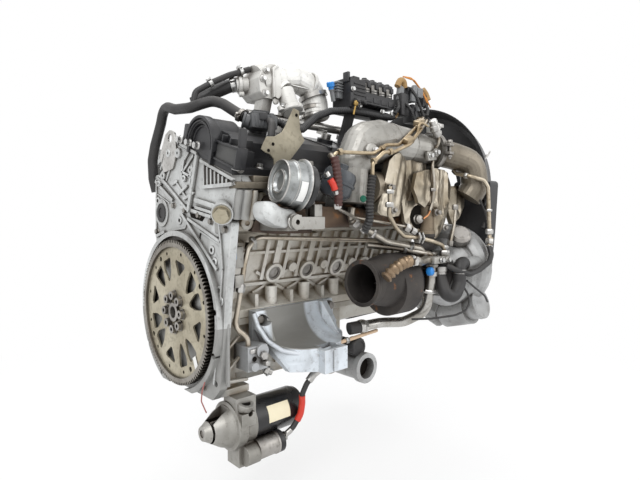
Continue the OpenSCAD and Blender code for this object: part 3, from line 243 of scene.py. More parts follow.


# Brown for the dirty spots and runs and for the painted shade in the corners.
dirt_and_shade_brown = (0.055, 0.043, 0.032)
raw_casting = cast_metal("raw casting", (0.66, 0.675, 0.67), (0.47, 0.475, 0.465), dirt_and_shade_brown, 0.035)
block_casting = cast_metal(
    "block casting", (0.74, 0.72, 0.67), (0.5, 0.46, 0.39), (0.25, 0.2, 0.135), 0.026, 0.35, 0.35)
pan_casting = cast_metal(
    "stained casting", (0.52, 0.51, 0.475), (0.4, 0.375, 0.325), (0.27, 0.2, 0.125), 0.024, 0.35, 0.4)
valve_casting = cast_metal(
    "valve casting", (0.54, 0.56, 0.57), (0.4, 0.41, 0.42), (0.1, 0.085, 0.07), 0.03, 0.35, 0.4)
clean_casting = cast_metal(
    "clean casting", (0.8, 0.79, 0.76), (0.6, 0.59, 0.56), (0.13, 0.11, 0.09), 0.03, 0.3, 0.3, (0.4, 0.6), 0.5, 0.35)
dull_casting = cast_metal(
    "dull casting", (0.41, 0.4, 0.375), (0.27, 0.26, 0.235), (0.07, 0.055, 0.04), 0.035, 0.35, 0.6, (0.36, 0.56))
pipe_casting = cast_metal(
    "oil-stained casting", (0.24, 0.21, 0.165), (0.14, 0.12, 0.09), (0.06, 0.045, 0.03), 0.035, 0.35, 0.6,
    (0.34, 0.5), 0.3)
grey_casting = cast_metal(
    "grey scroll casting", (0.46, 0.465, 0.465), (0.31, 0.31, 0.305), (0.07, 0.06, 0.05), 0.04, 0.35, 0.5, (0.4, 0.6))
# The arm's edges take a strong painted highlight.
arm_casting = cast_metal(
    "arm casting", (0.77, 0.82, 0.87), (0.62, 0.665, 0.71), (0.1, 0.09, 0.08), 0.035, 0.35, 0.45, (0.36, 0.55), 0.75)
coat(block_casting, "cylinder_block", "alternator")
coat(raw_casting, "rear_timing_case", "cylinder_head", "throttle_body", "tensioner_arm", "ac_compressor")
coat(pan_casting, "oil_pan")
coat(clean_casting, "egr_duct")
coat(dull_casting, "charge_elbow", "starter_housing", "canister_bracket")
coat(valve_casting, "drain_valve")
coat(pipe_casting, "charge_pipe")
coat(grey_casting, "large_compressor_housing", "axle_tube")
coat(arm_casting, "support_arm")


# ---------------------------------------------------------------------------
# Crankshaft, flexplate and ring gear: the flexplate is pressed steel sheet with
# a dull gold zinc coat, the ring gear is hardened steel shrunk onto it, and
# eight socket bolts clamp the plate on the crank flange.

def worn_steel(name, light, dark, grime_and_shade, rough, metallic=0.9):
    """Machined or plated metal with wiped patches, grimy spots, painted shade in the corners and a painted highlight
    on the edges.
    """
    mat, tree, shader = finish(name, metallic, 0.4)
    patch = noise(tree, 14, 6)
    skin = mix(tree, ramp(tree, patch, [(0.36, 0.0), (0.64, 1.0)]), dark, light)
    skin = mix(tree, ramp(tree, noise(tree, 120, 4), [(0.5, 0.0), (0.76, 0.5)]), skin, grime_and_shade)
    # Painted highlight: edges are lightened towards a brighter copy of the light colour.
    share = mix(tree, 1.0, edges(tree, 0.0012), (0.4, 0.4, 0.4), "MULTIPLY")
    skin = mix(tree, share, skin, tuple(min(0.9, 1.3 * c + 0.06) for c in light))
    # Painted shade: corners are darkened towards the grime colour.
    shade = ramp(tree, corners(tree, 0.02), [(0.35, 1.0), (0.85, 0.0)])
    tree.links.new(mix(tree, shade, skin, grime_and_shade), shader.inputs["Base Color"])
    tree.links.new(ramp(tree, patch, [(0.3, rough[1]), (0.7, rough[0])]), shader.inputs["Roughness"])
    bump(tree, shader, noise(tree, 300, 3), 0.12, 0.0004, 0.0006)
    return mat


plated_gold = worn_steel(
    "gold zinc plate", (0.5, 0.455, 0.345), (0.36, 0.32, 0.235), (0.1, 0.085, 0.06), (0.34, 0.5), 0.7)
gear_steel = worn_steel("ring gear steel", (0.35, 0.33, 0.295), (0.22, 0.2, 0.175), (0.05, 0.042, 0.034), (0.35, 0.5))
bright_steel = worn_steel("turned steel", (0.62, 0.61, 0.59), (0.44, 0.43, 0.41), (0.11, 0.095, 0.08), (0.24, 0.42))
dull_steel = worn_steel("dull steel", (0.42, 0.40, 0.375), (0.27, 0.255, 0.235), (0.07, 0.058, 0.045), (0.34, 0.55))
coat(plated_gold, "flexplate", "chain_tensioner")
coat(gear_steel, "ring_gear")
coat(
    dull_steel, "crankshaft", "crank_bolts", "damper_pulley", "core_plugs", "cover_bolts", "arm_bolts",
    "canister_lever", "canister_rod", "throttle_flap", "starter_pinion", "tensioner_pulley")
coat(bright_steel, "lifting_eyes", "fuel_rail", "hose_clamps", "alternator_pulley", "ac_pulley", "large_rotor")


# ---------------------------------------------------------------------------
# Plastics, paint and rubber: the cover, air duct and solenoid bank are moulded
# glass-filled nylon with a dusty film, the hoses are rubber, and the starter
# motor and actuator are painted gloss black.

def moulded(name, colour, dust, rough=(0.34, 0.6), grain=0.2, grain_size=900, dust_share=0.55):
    """Moulded or painted black skin, wiped glossy in patches and dusty on what faces up."""
    mat, tree, shader = finish(name, 0.0, 0.45)
    film = noise(tree, 16, 6)
    upward = node(tree, "SeparateXYZ", {0: node(tree, "NewGeometry").outputs["Normal"]}).outputs["Z"]
    facing = ramp(tree, upward, [(0.0, 0.25), (0.9, 1.0)])
    amount = mix(tree, 1.0, ramp(tree, film, [(0.42, 0.0), (0.78, dust_share)]), facing, "MULTIPLY")
    tree.links.new(mix(tree, amount, colour, dust), shader.inputs["Base Color"])
    tree.links.new(ramp(tree, film, [(0.35, rough[0]), (0.7, rough[1])]), shader.inputs["Roughness"])
    bump(tree, shader, noise(tree, grain_size, 2), grain, 0.0004, 0.0008)
    return mat


black_nylon = moulded("black nylon", (0.018, 0.018, 0.020), (0.13, 0.12, 0.11))
black_rubber = moulded("black rubber", (0.022, 0.021, 0.021), (0.12, 0.11, 0.10), (0.45, 0.7), 0.15)
black_paint = moulded("gloss black paint", (0.010, 0.010, 0.011), (0.08, 0.075, 0.07), (0.16, 0.38), 0.05)
coat(black_nylon, "valve_cover", "filler_cap", "solenoid_bank", "intake_manifold", "intake_duct", "axle_cap")
coat(
    black_rubber, "breather_hose", "wiring_harness", "vacuum_pipes", "coolant_hoses", "starter_cable", "drive_belt",
    "rear_plug")
coat(black_paint, "starter_motor", "bypass_actuator")


# ---------------------------------------------------------------------------
# Exhaust side: the manifold and both turbine housings are cast iron that has
# scaled brown and black in the heat, with orange rust where water has dried.

def scaled_iron(name, light, dark, rust, rust_from, shade_distance=0.03):
    """Heat-scaled cast iron with patches of fresh rust, a painted highlight on the edges and painted shade in the
    corners.
    """
    mat, tree, shader = finish(name, 0.35, 0.7)
    scale_patch = noise(tree, 16, 8)
    skin = mix(tree, ramp(tree, scale_patch, [(0.34, 0.0), (0.68, 1.0)]), dark, light)
    bloom = noise(tree, 34, 8, roughness=0.65)
    skin = mix(tree, ramp(tree, bloom, [(rust_from, 0.0), (rust_from + 0.14, 1.0)]), skin, rust)
    # Painted highlight: edges are lightened towards a brighter copy of the light colour.
    share = mix(tree, 1.0, edges(tree, 0.002), (0.3, 0.3, 0.3), "MULTIPLY")
    skin = mix(tree, share, skin, tuple(2 * c + 0.03 for c in light))
    # Painted shade: corners are darkened to near black.
    shade = ramp(tree, corners(tree, shade_distance), [(0.3, 1.0), (0.8, 0.0)])
    tree.links.new(mix(tree, shade, skin, (0.012, 0.009, 0.008)), shader.inputs["Base Color"])
    tree.links.new(ramp(tree, scale_patch, [(0.3, 0.55), (0.7, 0.8)]), shader.inputs["Roughness"])
    bump(tree, shader, noise(tree, 380, 5), 0.5, 0.0008, 0.0012)
    return mat


# The turbine's painted corner shade reaches further than the manifold's.
turbine_iron = scaled_iron(
    "scaled turbine iron", (0.078, 0.069, 0.062), (0.026, 0.023, 0.022), (0.34, 0.13, 0.035), 0.61, shade_distance=0.075)
manifold_iron = scaled_iron("manifold iron", (0.20, 0.135, 0.09), (0.10, 0.066, 0.045), (0.33, 0.15, 0.055), 0.55)
warm_casting = cast_metal(
    "heat-stained casting", (0.36, 0.31, 0.24), (0.21, 0.165, 0.115), (0.07, 0.05, 0.032), 0.03, 0.35, 0.8)
coat(turbine_iron, "large_turbine_housing")
coat(manifold_iron, "exhaust_manifold")
coat(warm_casting, "small_turbo")


# ---------------------------------------------------------------------------
# Heat shields: thin aluminised steel, pressed with a hammered pattern and held
# by one stud each. Heat has tinted them the colour of straw and brass.

def pressed_sheet(name, light, dark, tint):
    """Aluminised sheet, straw-coloured from heat, with wavy pressed dimples."""
    mat, tree, shader = finish(name, 0.9, 0.36)
    cloud = noise(tree, 11, 5)
    skin = mix(tree, ramp(tree, cloud, [(0.34, 0.0), (0.66, 1.0)]), dark, light)
    skin = mix(tree, ramp(tree, noise(tree, 24, 6), [(0.5, 0.0), (0.75, 0.7)]), skin, tint)
    shade = ramp(tree, corners(tree, 0.02), [(0.3, 1.0), (0.8, 0.0)])
    tree.links.new(mix(tree, shade, skin, (0.09, 0.06, 0.035)), shader.inputs["Base Color"])
    tree.links.new(ramp(tree, cloud, [(0.3, 0.46), (0.7, 0.27)]), shader.inputs["Roughness"])
    bump(tree, shader, noise(tree, 75, 2, (1, 1, 0.45)), 0.75, 0.0035, 0.0008)
    return mat


shield_sheet = pressed_sheet("heat shield sheet", (0.47, 0.425, 0.35), (0.27, 0.23, 0.17), (0.17, 0.115, 0.06))
coat(shield_sheet, "heat_shield_rear", "heat_shield_front")


# ---------------------------------------------------------------------------
# Pipes and canister: the coolant pipes are drawn steel tube with a thin zinc
# coat, the oil and vacuum pipes are yellow-passivated, and the canister is
# bright zinc-plated sheet, crimped round its middle.

drawn_tube = worn_steel(
    "drawn steel tube", (0.47, 0.445, 0.4), (0.3, 0.265, 0.215), (0.14, 0.095, 0.055), (0.24, 0.45))
yellow_tube = worn_steel(
    "yellow passivated tube", (0.52, 0.43, 0.3), (0.35, 0.27, 0.17), (0.12, 0.075, 0.035), (0.26, 0.44))
canister_plate = worn_steel(
    "bright zinc plate", (0.4, 0.415, 0.42), (0.26, 0.27, 0.265), (0.1, 0.1, 0.09), (0.28, 0.46), 0.8)
coat(drawn_tube, "coolant_pipes")
coat(yellow_tube, "oil_pipes")
coat(canister_plate, "vacuum_canister")


# ---------------------------------------------------------------------------
# Rear case and bell face: flanged hex screws hold the chain case to the block
# and the pan to the case. All screws of the engine grow from one tree, which
# stands a head on every given place, facing along its axis.

def new_tree(name, **labels):
    """Empty Geometry Nodes tree; labels gives the kind of each input, with _ for spaces."""
    tree = bpy.data.node_groups.new(name, "GeometryNodeTree")
    for label, kind in labels.items():
        tree.interface.new_socket(label.replace("_", " "), in_out="INPUT", socket_type="NodeSocket" + kind)
    tree.interface.new_socket("Mesh", in_out="OUTPUT", socket_type="NodeSocketGeometry")
    return tree, tree.nodes.new("NodeGroupInput").outputs


def geo(tree, kind, inputs, **settings):
    """First output of a new Geometry Nodes node."""
    return node(tree, "GeometryNode" + kind, inputs, **settings).outputs[0]


def end_tree(tree, mesh, skin):
    """Gives the mesh its material and passes it out of the tree."""
    painted = geo(tree, "SetMaterial", {"Geometry": mesh, "Material": skin})
    tree.links.new(painted, tree.nodes.new("NodeGroupOutput").inputs[0])
    return tree


def screw_tree():
    """Geometry Nodes: flanged hex heads on points that carry an axis."""
    tree, given = new_tree("flanged screws", Places="Geometry", Across_flats="Float", Head_height="Float",
                           Flange="Float", Metal="Material")
    height = given["Head height"]
    head = geo(tree, "MeshCylinder", {
        "Vertices": 6, "Radius": calc(tree, "MULTIPLY", given["Across flats"], 0.577), "Depth": height})
    lift = node(tree, "CombineXYZ", {"Z": calc(tree, "MULTIPLY", height, 0.5)}).outputs[0]
    rim = geo(tree, "MeshCone", {
        "Vertices": 20, "Radius Bottom": calc(tree, "MULTIPLY", given["Flange"], 0.5),
        "Radius Top": calc(tree, "MULTIPLY", given["Flange"], 0.43), "Depth": calc(tree, "MULTIPLY", height, 0.3)})
    both = tree.nodes.new("GeometryNodeJoinGeometry")
    tree.links.new(geo(tree, "Transform", {"Geometry": head, "Translation": lift}), both.inputs[0])
    tree.links.new(rim, both.inputs[0])
    axis = geo(tree, "InputNamedAttribute", {"Name": "axis"}, data_type="FLOAT_VECTOR")
    turn = node(tree, "FunctionNodeAlignRotationToVector", {"Vector": axis}, axis="Z").outputs[0]
    heads = geo(tree, "InstanceOnPoints", {"Points": given["Places"], "Instance": both.outputs[0], "Rotation": turn})
    return end_tree(tree, geo(tree, "RealizeInstances", {"Geometry": heads}), given["Metal"])


def grown(name, source, tree, settings, turn=30):
    """Runs a tree on a source mesh and leaves the plain result as a piece of the engine."""
    obj = bpy.data.objects.new(name, source)
    bpy.context.scene.collection.objects.link(obj)
    modifier = obj.modifiers.new("build", "NODES")
    modifier.node_group = tree
    for socket in tree.interface.items_tree:
        if socket.in_out == "INPUT" and socket.name in settings:
            modifier[socket.identifier] = settings[socket.name]
    ready = obj.evaluated_get(bpy.context.evaluated_depsgraph_get())
    result = bpy.data.meshes.new_from_object(ready)
    obj.modifiers.remove(modifier)
    obj.data = result
    result.name = name
    result.shade_smooth()
    result.set_sharp_from_angle(angle=math.radians(turn))
    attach(obj, "engine")
    return obj


def screws(name, places, flats, height, metal=None):
    """Screws at (x, y, z, axis) places, all in millimetres."""
    mesh = bpy.data.meshes.new(name + " places")
    mesh.from_pydata([Vector(p[:3]) * MM for p in places], [], [])
    axes = mesh.attributes.new("axis", "FLOAT_VECTOR", "POINT")
    axes.data.foreach_set("vector", [c for p in places for c in p[3]])
    grown(name, mesh, flanged, {
        "Across flats": flats * MM, "Head height": height * MM, "Flange": 1.45 * flats * MM,
        "Metal": metal or dull_steel})


flanged = screw_tree()
REAR, FRONT, OUT, UP = (-1, 0, 0), (1, 0, 0), (0, -1, 0), (0, 0, 1)
screws(
    "case_screws",
    [(17, y, z, REAR)
     for y, z in ((-176, 168), (-128, 182), (-84, 194), (-30, 204), (20, 214), (88, 262), (100, 160), (96, 120))],
    9, 6)
screws("pan_rear_screws", [(17, y, z, REAR) for y, z in ((-128, -60), (-96, -132), (0, -136), (110, -118))], 9, 6)


# ---------------------------------------------------------------------------
# Hoses, looms and pipes: one tree draws a tube along a path. Rubber hose and
# drawn pipe are plain, and the conduit round the wiring is ribbed.

def tube_tree():
    """Geometry Nodes: a capped tube along a path with rounded bends and optional ribs."""
    tree, given = new_tree("tube along a path", Path="Geometry", Radius="Float", Bend="Float", Step="Float",
                           Rib_depth="Float", Rib_pitch="Float", Sides="Int", Skin="Material")
    line = geo(tree, "MeshToCurve", {"Mesh": given["Path"]})
    eased = geo(tree, "FilletCurve", {"Curve": line, "Count": 6, "Radius": given["Bend"], "Limit Radius": True},
                mode="POLY")
    even = geo(tree, "ResampleCurve", {"Curve": eased, "Length": given["Step"]}, mode="LENGTH")
    along = node(tree, "GeometryNodeSplineParameter").outputs["Length"]
    angle = calc(tree, "MULTIPLY", calc(tree, "DIVIDE", along, given["Rib pitch"]), math.tau)
    radius = calc(tree, "MULTIPLY_ADD", calc(tree, "SINE", angle), given["Rib depth"], given["Radius"])
    ring = geo(tree, "CurvePrimitiveCircle", {"Resolution": given["Sides"], "Radius": 1.0})
    skin = geo(tree, "CurveToMesh", {"Curve": even, "Profile Curve": ring, "Scale": radius, "Fill Caps": True})
    return end_tree(tree, skin, given["Skin"])


def tube(name, points, diameter, skin, bend, step=4, sides=14, rib=0.0, pitch=5.0):
    """A hose, pipe or conduit through points in millimetres, or one for each list of them."""
    paths = points if isinstance(points[0], list) else [points]
    verts, edges = [], []
    for path in paths:
        edges += [(len(verts) + i, len(verts) + i + 1) for i in range(len(path) - 1)]
        verts += [Vector(p) * MM for p in path]
    mesh = bpy.data.meshes.new(name + " path")
    mesh.from_pydata(verts, edges, [])
    return grown(name, mesh, along_path, {
        "Radius": diameter / 2 * MM, "Bend": bend * MM, "Step": (pitch / 4 if rib else step) * MM,
        "Rib depth": rib * MM, "Rib pitch": pitch * MM, "Sides": sides, "Skin": skin}, 50)


along_path = tube_tree()
conduit = moulded("ribbed conduit", (0.020, 0.020, 0.021), (0.14, 0.13, 0.12), (0.4, 0.62), 0.1)


# ---------------------------------------------------------------------------
# Valve cover details: the nylon cover has a flange all round, a ribbed lip on
# its arch over the cam sprockets and a grained panel beside it, and is held
# down by silver screws with collars.

def stood(base, axis=(0, 0, 1), spin=0.0):
    """Places a shape made on z = 0 at base, facing along axis, spun by spin degrees."""
    return Matrix.Translation(base) @ Vector(axis).to_track_quat("Z", "Y").to_matrix().to_4x4() @ Matrix.Rotation(
        math.radians(spin), 4, "Z")


def slab(outline, low, high, place, soft=1.0):
    """A plate with this outline between two heights, its rims softened, in millimetres."""
    part = bmesh.new()
    face = part.faces.new([part.verts.new((x, y, low)) for x, y in outline])
    top = bmesh.ops.extrude_face_region(part, geom=[face])["geom"]
    bmesh.ops.translate(part, vec=(0, 0, high - low), verts=[v for v in top if isinstance(v, bmesh.types.BMVert)])
    bmesh.ops.recalc_face_normals(part, faces=part.faces)
    if soft:
        bmesh.ops.bevel(part, geom=list(part.edges), offset=soft, segments=2, affect="EDGES", profile=0.5,
                        clamp_overlap=True)
    part.transform(place)
    return part


def brick(low, high, place=Matrix(), soft=1.0):
    """A box between two corners with softened edges, in millimetres."""
    corners = [(low[0], low[1]), (high[0], low[1]), (high[0], high[1]), (low[0], high[1])]
    return slab(corners, low[2], high[2], place, soft)


def turned(profile, place, sides=24):
    """A turned shape from (radius, height) points, capped at both ends unless they meet."""
    part = bmesh.new()
    rings = []
    for radius, height in profile:
        count = sides if radius > 0.01 else 1
        angles = [math.tau * k / count for k in range(count)]
        rings.append([part.verts.new((radius * math.cos(a), radius * math.sin(a), height)) for a in angles])
    meets = profile[0] == profile[-1]
    if meets:
        for vert in rings[-1]:
            part.verts.remove(vert)
        rings[-1] = rings[0]
    for lower, upper in zip(rings, rings[1:]):
        for k in range(sides):
            corner = [lower[k % len(lower)], lower[(k + 1) % len(lower)],
                      upper[(k + 1) % len(upper)], upper[k % len(upper)]]
            part.faces.new(list(dict.fromkeys(corner)))
    for ring, way in () if meets else ((rings[0], -1), (rings[-1], 1)):
        if len(ring) > 1:
            part.faces.new(ring[::way])
    bmesh.ops.recalc_face_normals(part, faces=part.faces)
    part.transform(place)
    return part


def knob(profile, place, sides=24):
    """A turned shape with flat ends that reach its axis."""
    return turned([(0, profile[0][1]), *profile, (0, profile[-1][1])], place, sides)


def hoop(profile, place, sides):
    """A turned ring with a closed section."""
    return turned([*profile, profile[0]], place, sides)


def rod(radius, length, place, sides):
    """A plain cylinder."""
    return knob([(radius, 0), (radius, length)], place, sides)


def piece(name, skin, *parts, body="engine", turn=35):
    """Joins parts made in millimetres and finishes them as one piece on its body."""
    shape = bmesh.new()
    for part in parts:
        carrier = bpy.data.meshes.new("carrier")
        part.to_mesh(carrier)
        part.free()
        shape.from_mesh(carrier)
        bpy.data.meshes.remove(carrier)
    bmesh.ops.scale(shape, vec=(MM, MM, MM), verts=shape.verts)
    bmesh.ops.recalc_face_normals(shape, faces=shape.faces)
    mesh = bpy.data.meshes.new(name)
    shape.to_mesh(mesh)
    shape.free()
    mesh.shade_smooth()
    mesh.set_sharp_from_angle(angle=math.radians(turn))
    mesh.materials.append(skin)
    obj = bpy.data.objects.new(name, mesh)
    bpy.context.scene.collection.objects.link(obj)
    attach(obj, body)
    return obj


LEAN = math.radians(20)         # of the cylinders
BORE_PITCH = 91


def bank(x, v, u):
    """Millimetre point from its place along, across and up the leaning cylinder bank."""
    return (x, v * math.cos(LEAN) - u * math.sin(LEAN), v * math.sin(LEAN) + u * math.cos(LEAN))


BANK_UP = (0, -math.sin(LEAN), math.cos(LEAN))
across_bank = Matrix(((0, 0, 1, 0), (BANK_UP[2], BANK_UP[1], 0, 0), (-BANK_UP[1], BANK_UP[2], 0, 0), (0, 0, 0, 1)))


def arch(middle, inner, outer, low, high, place):
    """A half-round band over middle between two radii."""
    angles = [math.radians(180 * i / 28) for i in range(29)]
    rim = [(middle[0] + outer * math.cos(a), middle[1] + outer * math.sin(a)) for a in angles]
    rim += [(middle[0] + inner * math.cos(a), middle[1] + inner * math.sin(a)) for a in reversed(angles)]
    return slab(rim, low, high, place, 0.8)


piece(
    "cover_trim", black_nylon,
    slab([(-100, 315.3), (112, 315.3), (112, 326), (-96, 326)], 13.5, 27, across_bank, 1.5),
    *(arch((11, 339), inner, outer, face_x, 20, across_bank)
      for inner, outer, face_x in ((47, 52.5, 3), (41, 43.5, 4), (33, 36, 11))),
    slab([(-36.5, 327), (-33, 327), (-33, 352), (-36.5, 352)], 6, 16, across_bank),
    slab([(55, 327), (58.5, 327), (58.5, 352), (55, 352)], 6, 16, across_bank),
    slab([(66, 326), (90, 326), (90, 362), (70, 366)], 12, 25, across_bank, 2),
    *(slab([(v, 358), (v + 4, 358), (v + 4, 372), (v, 372)], 14, 60, across_bank, 1) for v in (-78, -52)))

grained_plastic = moulded(
    "grained panel plastic", (0.055, 0.055, 0.054), (0.2, 0.19, 0.175), (0.5, 0.7), 1.0, 330, 1.0)
piece(
    "grained_panel", grained_plastic,
    slab([(-110, 329), (-41, 329), (-41, 357), (-108, 361)], 12, 30, across_bank, 1.2))
piece(
    "panel_rim", black_nylon,
    *(slab(outline, 9, 30, across_bank, 0.8)
      for outline in (
          [(-112, 326), (-38, 326), (-38, 330), (-112, 330)], [(-110, 359), (-38, 356), (-38, 359), (-111, 363)],
          [(-113, 327), (-108, 327), (-107, 362), (-111, 362)])))

silver = worn_steel("silver screw zinc", (0.66, 0.66, 0.65), (0.5, 0.5, 0.49), (0.16, 0.14, 0.12), (0.26, 0.42))
screws("cover_rear_screws", [(*bank(20, v, 326), BANK_UP) for v in (94, 60, 46, -30, -101)], 10, 9, silver)
piece(
    "cover_screw_collars", silver,
    *(turned([(5.2, 0), (8.4, 0), (8.4, 5), (6.6, 7), (5.2, 7)], stood(bank(20, v, 324), BANK_UP))
      for v in (94, 60, -101)))
screws("cover_edge_screws", [(*bank(168 + BORE_PITCH * i, -86.5, 327), BANK_UP) for i in range(-1, 6)], 10, 8, silver)


# ---------------------------------------------------------------------------
# Breather and air hoses at the rear of the cover: moulded rubber hoses that run
# from the intake side over the arch, pushed on ribbed spigots and held by
# spring clamps, with a nylon quick connector at the front of the thick one.

def clamp(name, middle, axis, bore, width, metal, spin=0.0):
    """Worm-drive clamp: a band with rolled edges, its screw housing and slotted screw."""
    r = bore / 2
    there = stood(middle, axis, spin)
    band = hoop([(r, 0), (r + 1.6, 0), (r + 1.6, 1), (r + 0.9, 1.6), (r + 0.9, width - 1.6), (r + 1.6, width - 1),
                 (r + 1.6, width), (r, width)], there @ Matrix.Translation((0, 0, -width / 2)), 32)
    housing = brick((-6, r, -width / 2 - 1), (6, r + 6, width / 2 + 1), there, 1.2)
    piece(name, metal, band, housing, knob([(3.4, 0), (3.4, 5), (2.6, 6)], there @ stood((5, r + 3.4, 0), FRONT), 12))


breather_path = [
    (23, 118, 247), (18, 121, 274), (16, 119, 314), (19, 112, 345), (27, 98, 392), (27, 84, 420), (24, 56, 420),
    (22, 20, 409), (29, -28, 405), (42, -52, 411), (60, -63, 418), (72, -82, 410), (86, -108, 391), (92, -128, 381)]
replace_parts(tube("breather_hose_rubber", breather_path, 21, black_rubber, 26), "breather_hose")
tube(
    "crossover_hose", [(52, 0, 422), (72, -8, 436), (94, -22, 450), (114, -36, 461), (128, -46, 465)], 27,
    black_rubber, 30)
tube(
    "vent_hose", [(36, -30, 414), (40, -31, 438), (72, -45, 460), (104, -54, 478), (147, -64, 496)], 12, black_rubber,
    16)
clamp("vent_clamp_low", (68, -43, 457), (32, -15, 22), 12, 7, silver)
clamp("vent_clamp_high", (128, -60, 489), (43, -10, 18), 12, 7, silver)
clamp("crossover_clamp", (121, -41, 463), (14, -10, 4), 27.5, 9, silver, 60)
clamp("breather_clamp", (90, -122, 384), (6, -20, -10), 21.5, 8, dull_steel, 120)
piece(
    "crossover_flange", clean_casting,
    knob([(15, 0), (15, 5), (19, 6), (19, 12), (16, 13), (16, 26)], stood((124, -44, 464), (26, -10, 3)), 28),
    *(rod(6, 9, stood((131 + 3 * side, -47 + 6 * side, 464 + 20 * side), (26, -10, 3)), 16) for side in (-1, 1)))

plug_place = Matrix.Translation((84, -150, 367)) @ Matrix.Rotation(math.radians(-12), 4, "Z")
piece(
    "breather_connector", moulded("grey nylon", (0.075, 0.078, 0.082), (0.22, 0.21, 0.2), (0.3, 0.5)),
    brick((0, -17, -12), (52, 17, 14), plug_place, 2.5), brick((4, -14, 12), (30, 14, 19), plug_place, 1.5),
    brick((36, -19, -8), (44, 19, 17), plug_place, 1.2),
    *(brick((6 + 7 * i, -19, -9), (9 + 7 * i, 19, 10), plug_place, 0.8) for i in range(4)),
    knob([(13, -4), (13, 4), (15, 5), (15, 9)], plug_place @ stood((0, 4, 2), (-1, 0.4, 0.3))))
piece(
    "breather_latch", black_nylon, brick((8, -8, 18), (40, 6, 23), plug_place, 1.2),
    brick((14, -21, 2), (30, -17, 16), plug_place, 1))
tube(
    "cover_drain_tube", [(112, -178, 368), (104, -196, 360), (96, -204, 340), (94, -204, 322), (104, -196, 300)], 14,
    black_rubber, 12)
piece("cover_strut", black_nylon, slab([(-112, 328), (-107, 328), (-92, 392), (-98, 394)], 16, 30, across_bank, 1))


# ---------------------------------------------------------------------------
# Wiring loom: wires in ribbed conduit run along the cover from the breather
# connector to a cluster of plugs at the front, where some are sleeved in tan
# and orange tape; clips on the solenoid bank and the cover hold it.

rear_plane = Matrix(((0, 0, 1, 0), (1, 0, 0, 0), (0, 1, 0, 0), (0, 0, 0, 1)))
side_plane = Matrix(((1, 0, 0, 0), (0, 0, -1, 0), (0, 1, 0, 0), (0, 0, 0, 1)))


def nut(middle, axis, flats, height):
    """Chamfered hexagon nut or union on a pipe, centred on middle, in millimetres."""
    r = flats / math.sqrt(3)
    half, bevel = height / 2, 0.14 * flats
    return knob([(r * 0.86, -half), (r, bevel - half), (r, half - bevel), (r * 0.86, half)], stood(middle, axis), 6)


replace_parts(tube(
    "harness_front",
    [(112, -140, 377), (128, -156, 376), (150, -164, 372), (160, -176, 360), (190, -178, 362), (242, -164, 397),
     (292, -154, 417), (341, -161, 425), (442, -161, 427), (492, -162, 430), (506, -164, 446), (508, -166, 462)],
    14.5, conduit, 16, rib=0.7, pitch=5), "wiring_harness")
tan_tape = moulded("tan cloth tape", (0.36, 0.22, 0.085), (0.16, 0.13, 0.10), (0.6, 0.8), 0.4, 700)
orange_skin = moulded("orange wire skin", (0.62, 0.24, 0.035), (0.2, 0.12, 0.07), (0.35, 0.5), 0.05)
grey_plug = moulded("grey plug nylon", (0.17, 0.175, 0.18), (0.28, 0.27, 0.25), (0.28, 0.5), 0.08)
tube(
    "loom_tape",
    [[(496, -162, 431), (505, -163.5, 444)], [(505, -166, 506), (514, -168, 524), (528, -168, 522), (534, -166, 508)],
     [(606, -168, 516), (618, -170, 506), (622, -174, 490)]],
    15, tan_tape, 12, 3)
tube(
    "front_wires",
    [[(528, -166, 534), (556, -170, 535), (588, -172, 516), (610, -176, 494), (622, -182, 470)],
     [(530, -172, 531), (560, -176, 529), (590, -178, 507), (607, -182, 480)]],
    3.6, orange_skin, 14, 3, 8)
tube(
    "cluster_wires",
    [[(520, -176, 470), (528, -190, 450), (542, -194, 420), (552, -186, 398)],
     [(566, -176, 440), (574, -192, 424), (572, -192, 402)],
     [(590, -166, 446), (612, -180, 436), (628, -192, 410), (638, -206, 380)],
     [(596, -160, 462), (616, -170, 452), (630, -186, 424)],
     [(540, -180, 505), (552, -188, 486), (566, -190, 462), (580, -190, 440)],
     [(612, -172, 480), (606, -186, 462), (596, -190, 444)], [(504, -170, 470), (496, -178, 452), (486, -176, 436)]],
    7.5, conduit, 14, rib=0.5, pitch=4, sides=12)
piece(
    "cluster_plugs", black_nylon, brick((506, -180, 436), (534, -152, 490), soft=2.5),
    brick((552, -178, 426), (590, -148, 470), soft=2.5), brick((556, -184, 432), (584, -176, 452), soft=1.5),
    brick((598, -176, 470), (622, -150, 502), soft=2), brick((540, -172, 478), (574, -148, 512), soft=2))
piece(
    "cluster_sockets", grey_plug,
    knob([(9, 0), (9.5, 2), (9.5, 30), (7.5, 33)], stood((514, -166, 474), (0.14, 0, 1)), 20),
    knob([(8, 0), (8.5, 2), (8.5, 36), (6.5, 40)], stood((551, -178, 474), (0.12, -0.06, 1)), 20),
    brick((560, -188, 486), (582, -168, 510), soft=2), brick((562, -189, 452), (580, -180, 464), soft=1))
piece(
    "loom_stud", worn_steel("brass", (0.66, 0.46, 0.17), (0.5, 0.33, 0.11), (0.14, 0.09, 0.04), (0.25, 0.4)),
    turned([(0, 0), (4.4, 0), (5.6, 3), (5.6, 7), (3.4, 10), (0, 11)], stood((347, -176, 434), (0.1, -0.2, 1)), 18),
    rod(2.2, 20, stood((345, -172, 415), (0.1, -0.2, 1)), 12))
white_plug = moulded("white plug nylon", (0.62, 0.62, 0.58), (0.42, 0.40, 0.35), (0.35, 0.55), 0.1)
piece(
    "pale_plug", white_plug, brick((606, -196, 404), (628, -180, 428), soft=2),
    brick((612, -200, 394), (630, -186, 408), soft=1.5),
    knob([(4.5, 0), (4.5, 18), (3, 20)], stood((634, -204, 392), (0.2, -0.3, -1)), 14))
tube("pale_tube", [(636, -208, 378), (642, -216, 362), (640, -222, 344), (630, -226, 330)], 7, white_plug, 10, 3, 12)


# ---------------------------------------------------------------------------
# Solenoid bank: four changeover valves in steel cans with nylon caps stand in
# a nylon carrier; a blue cap closes the spare port, and screws hold the carrier.

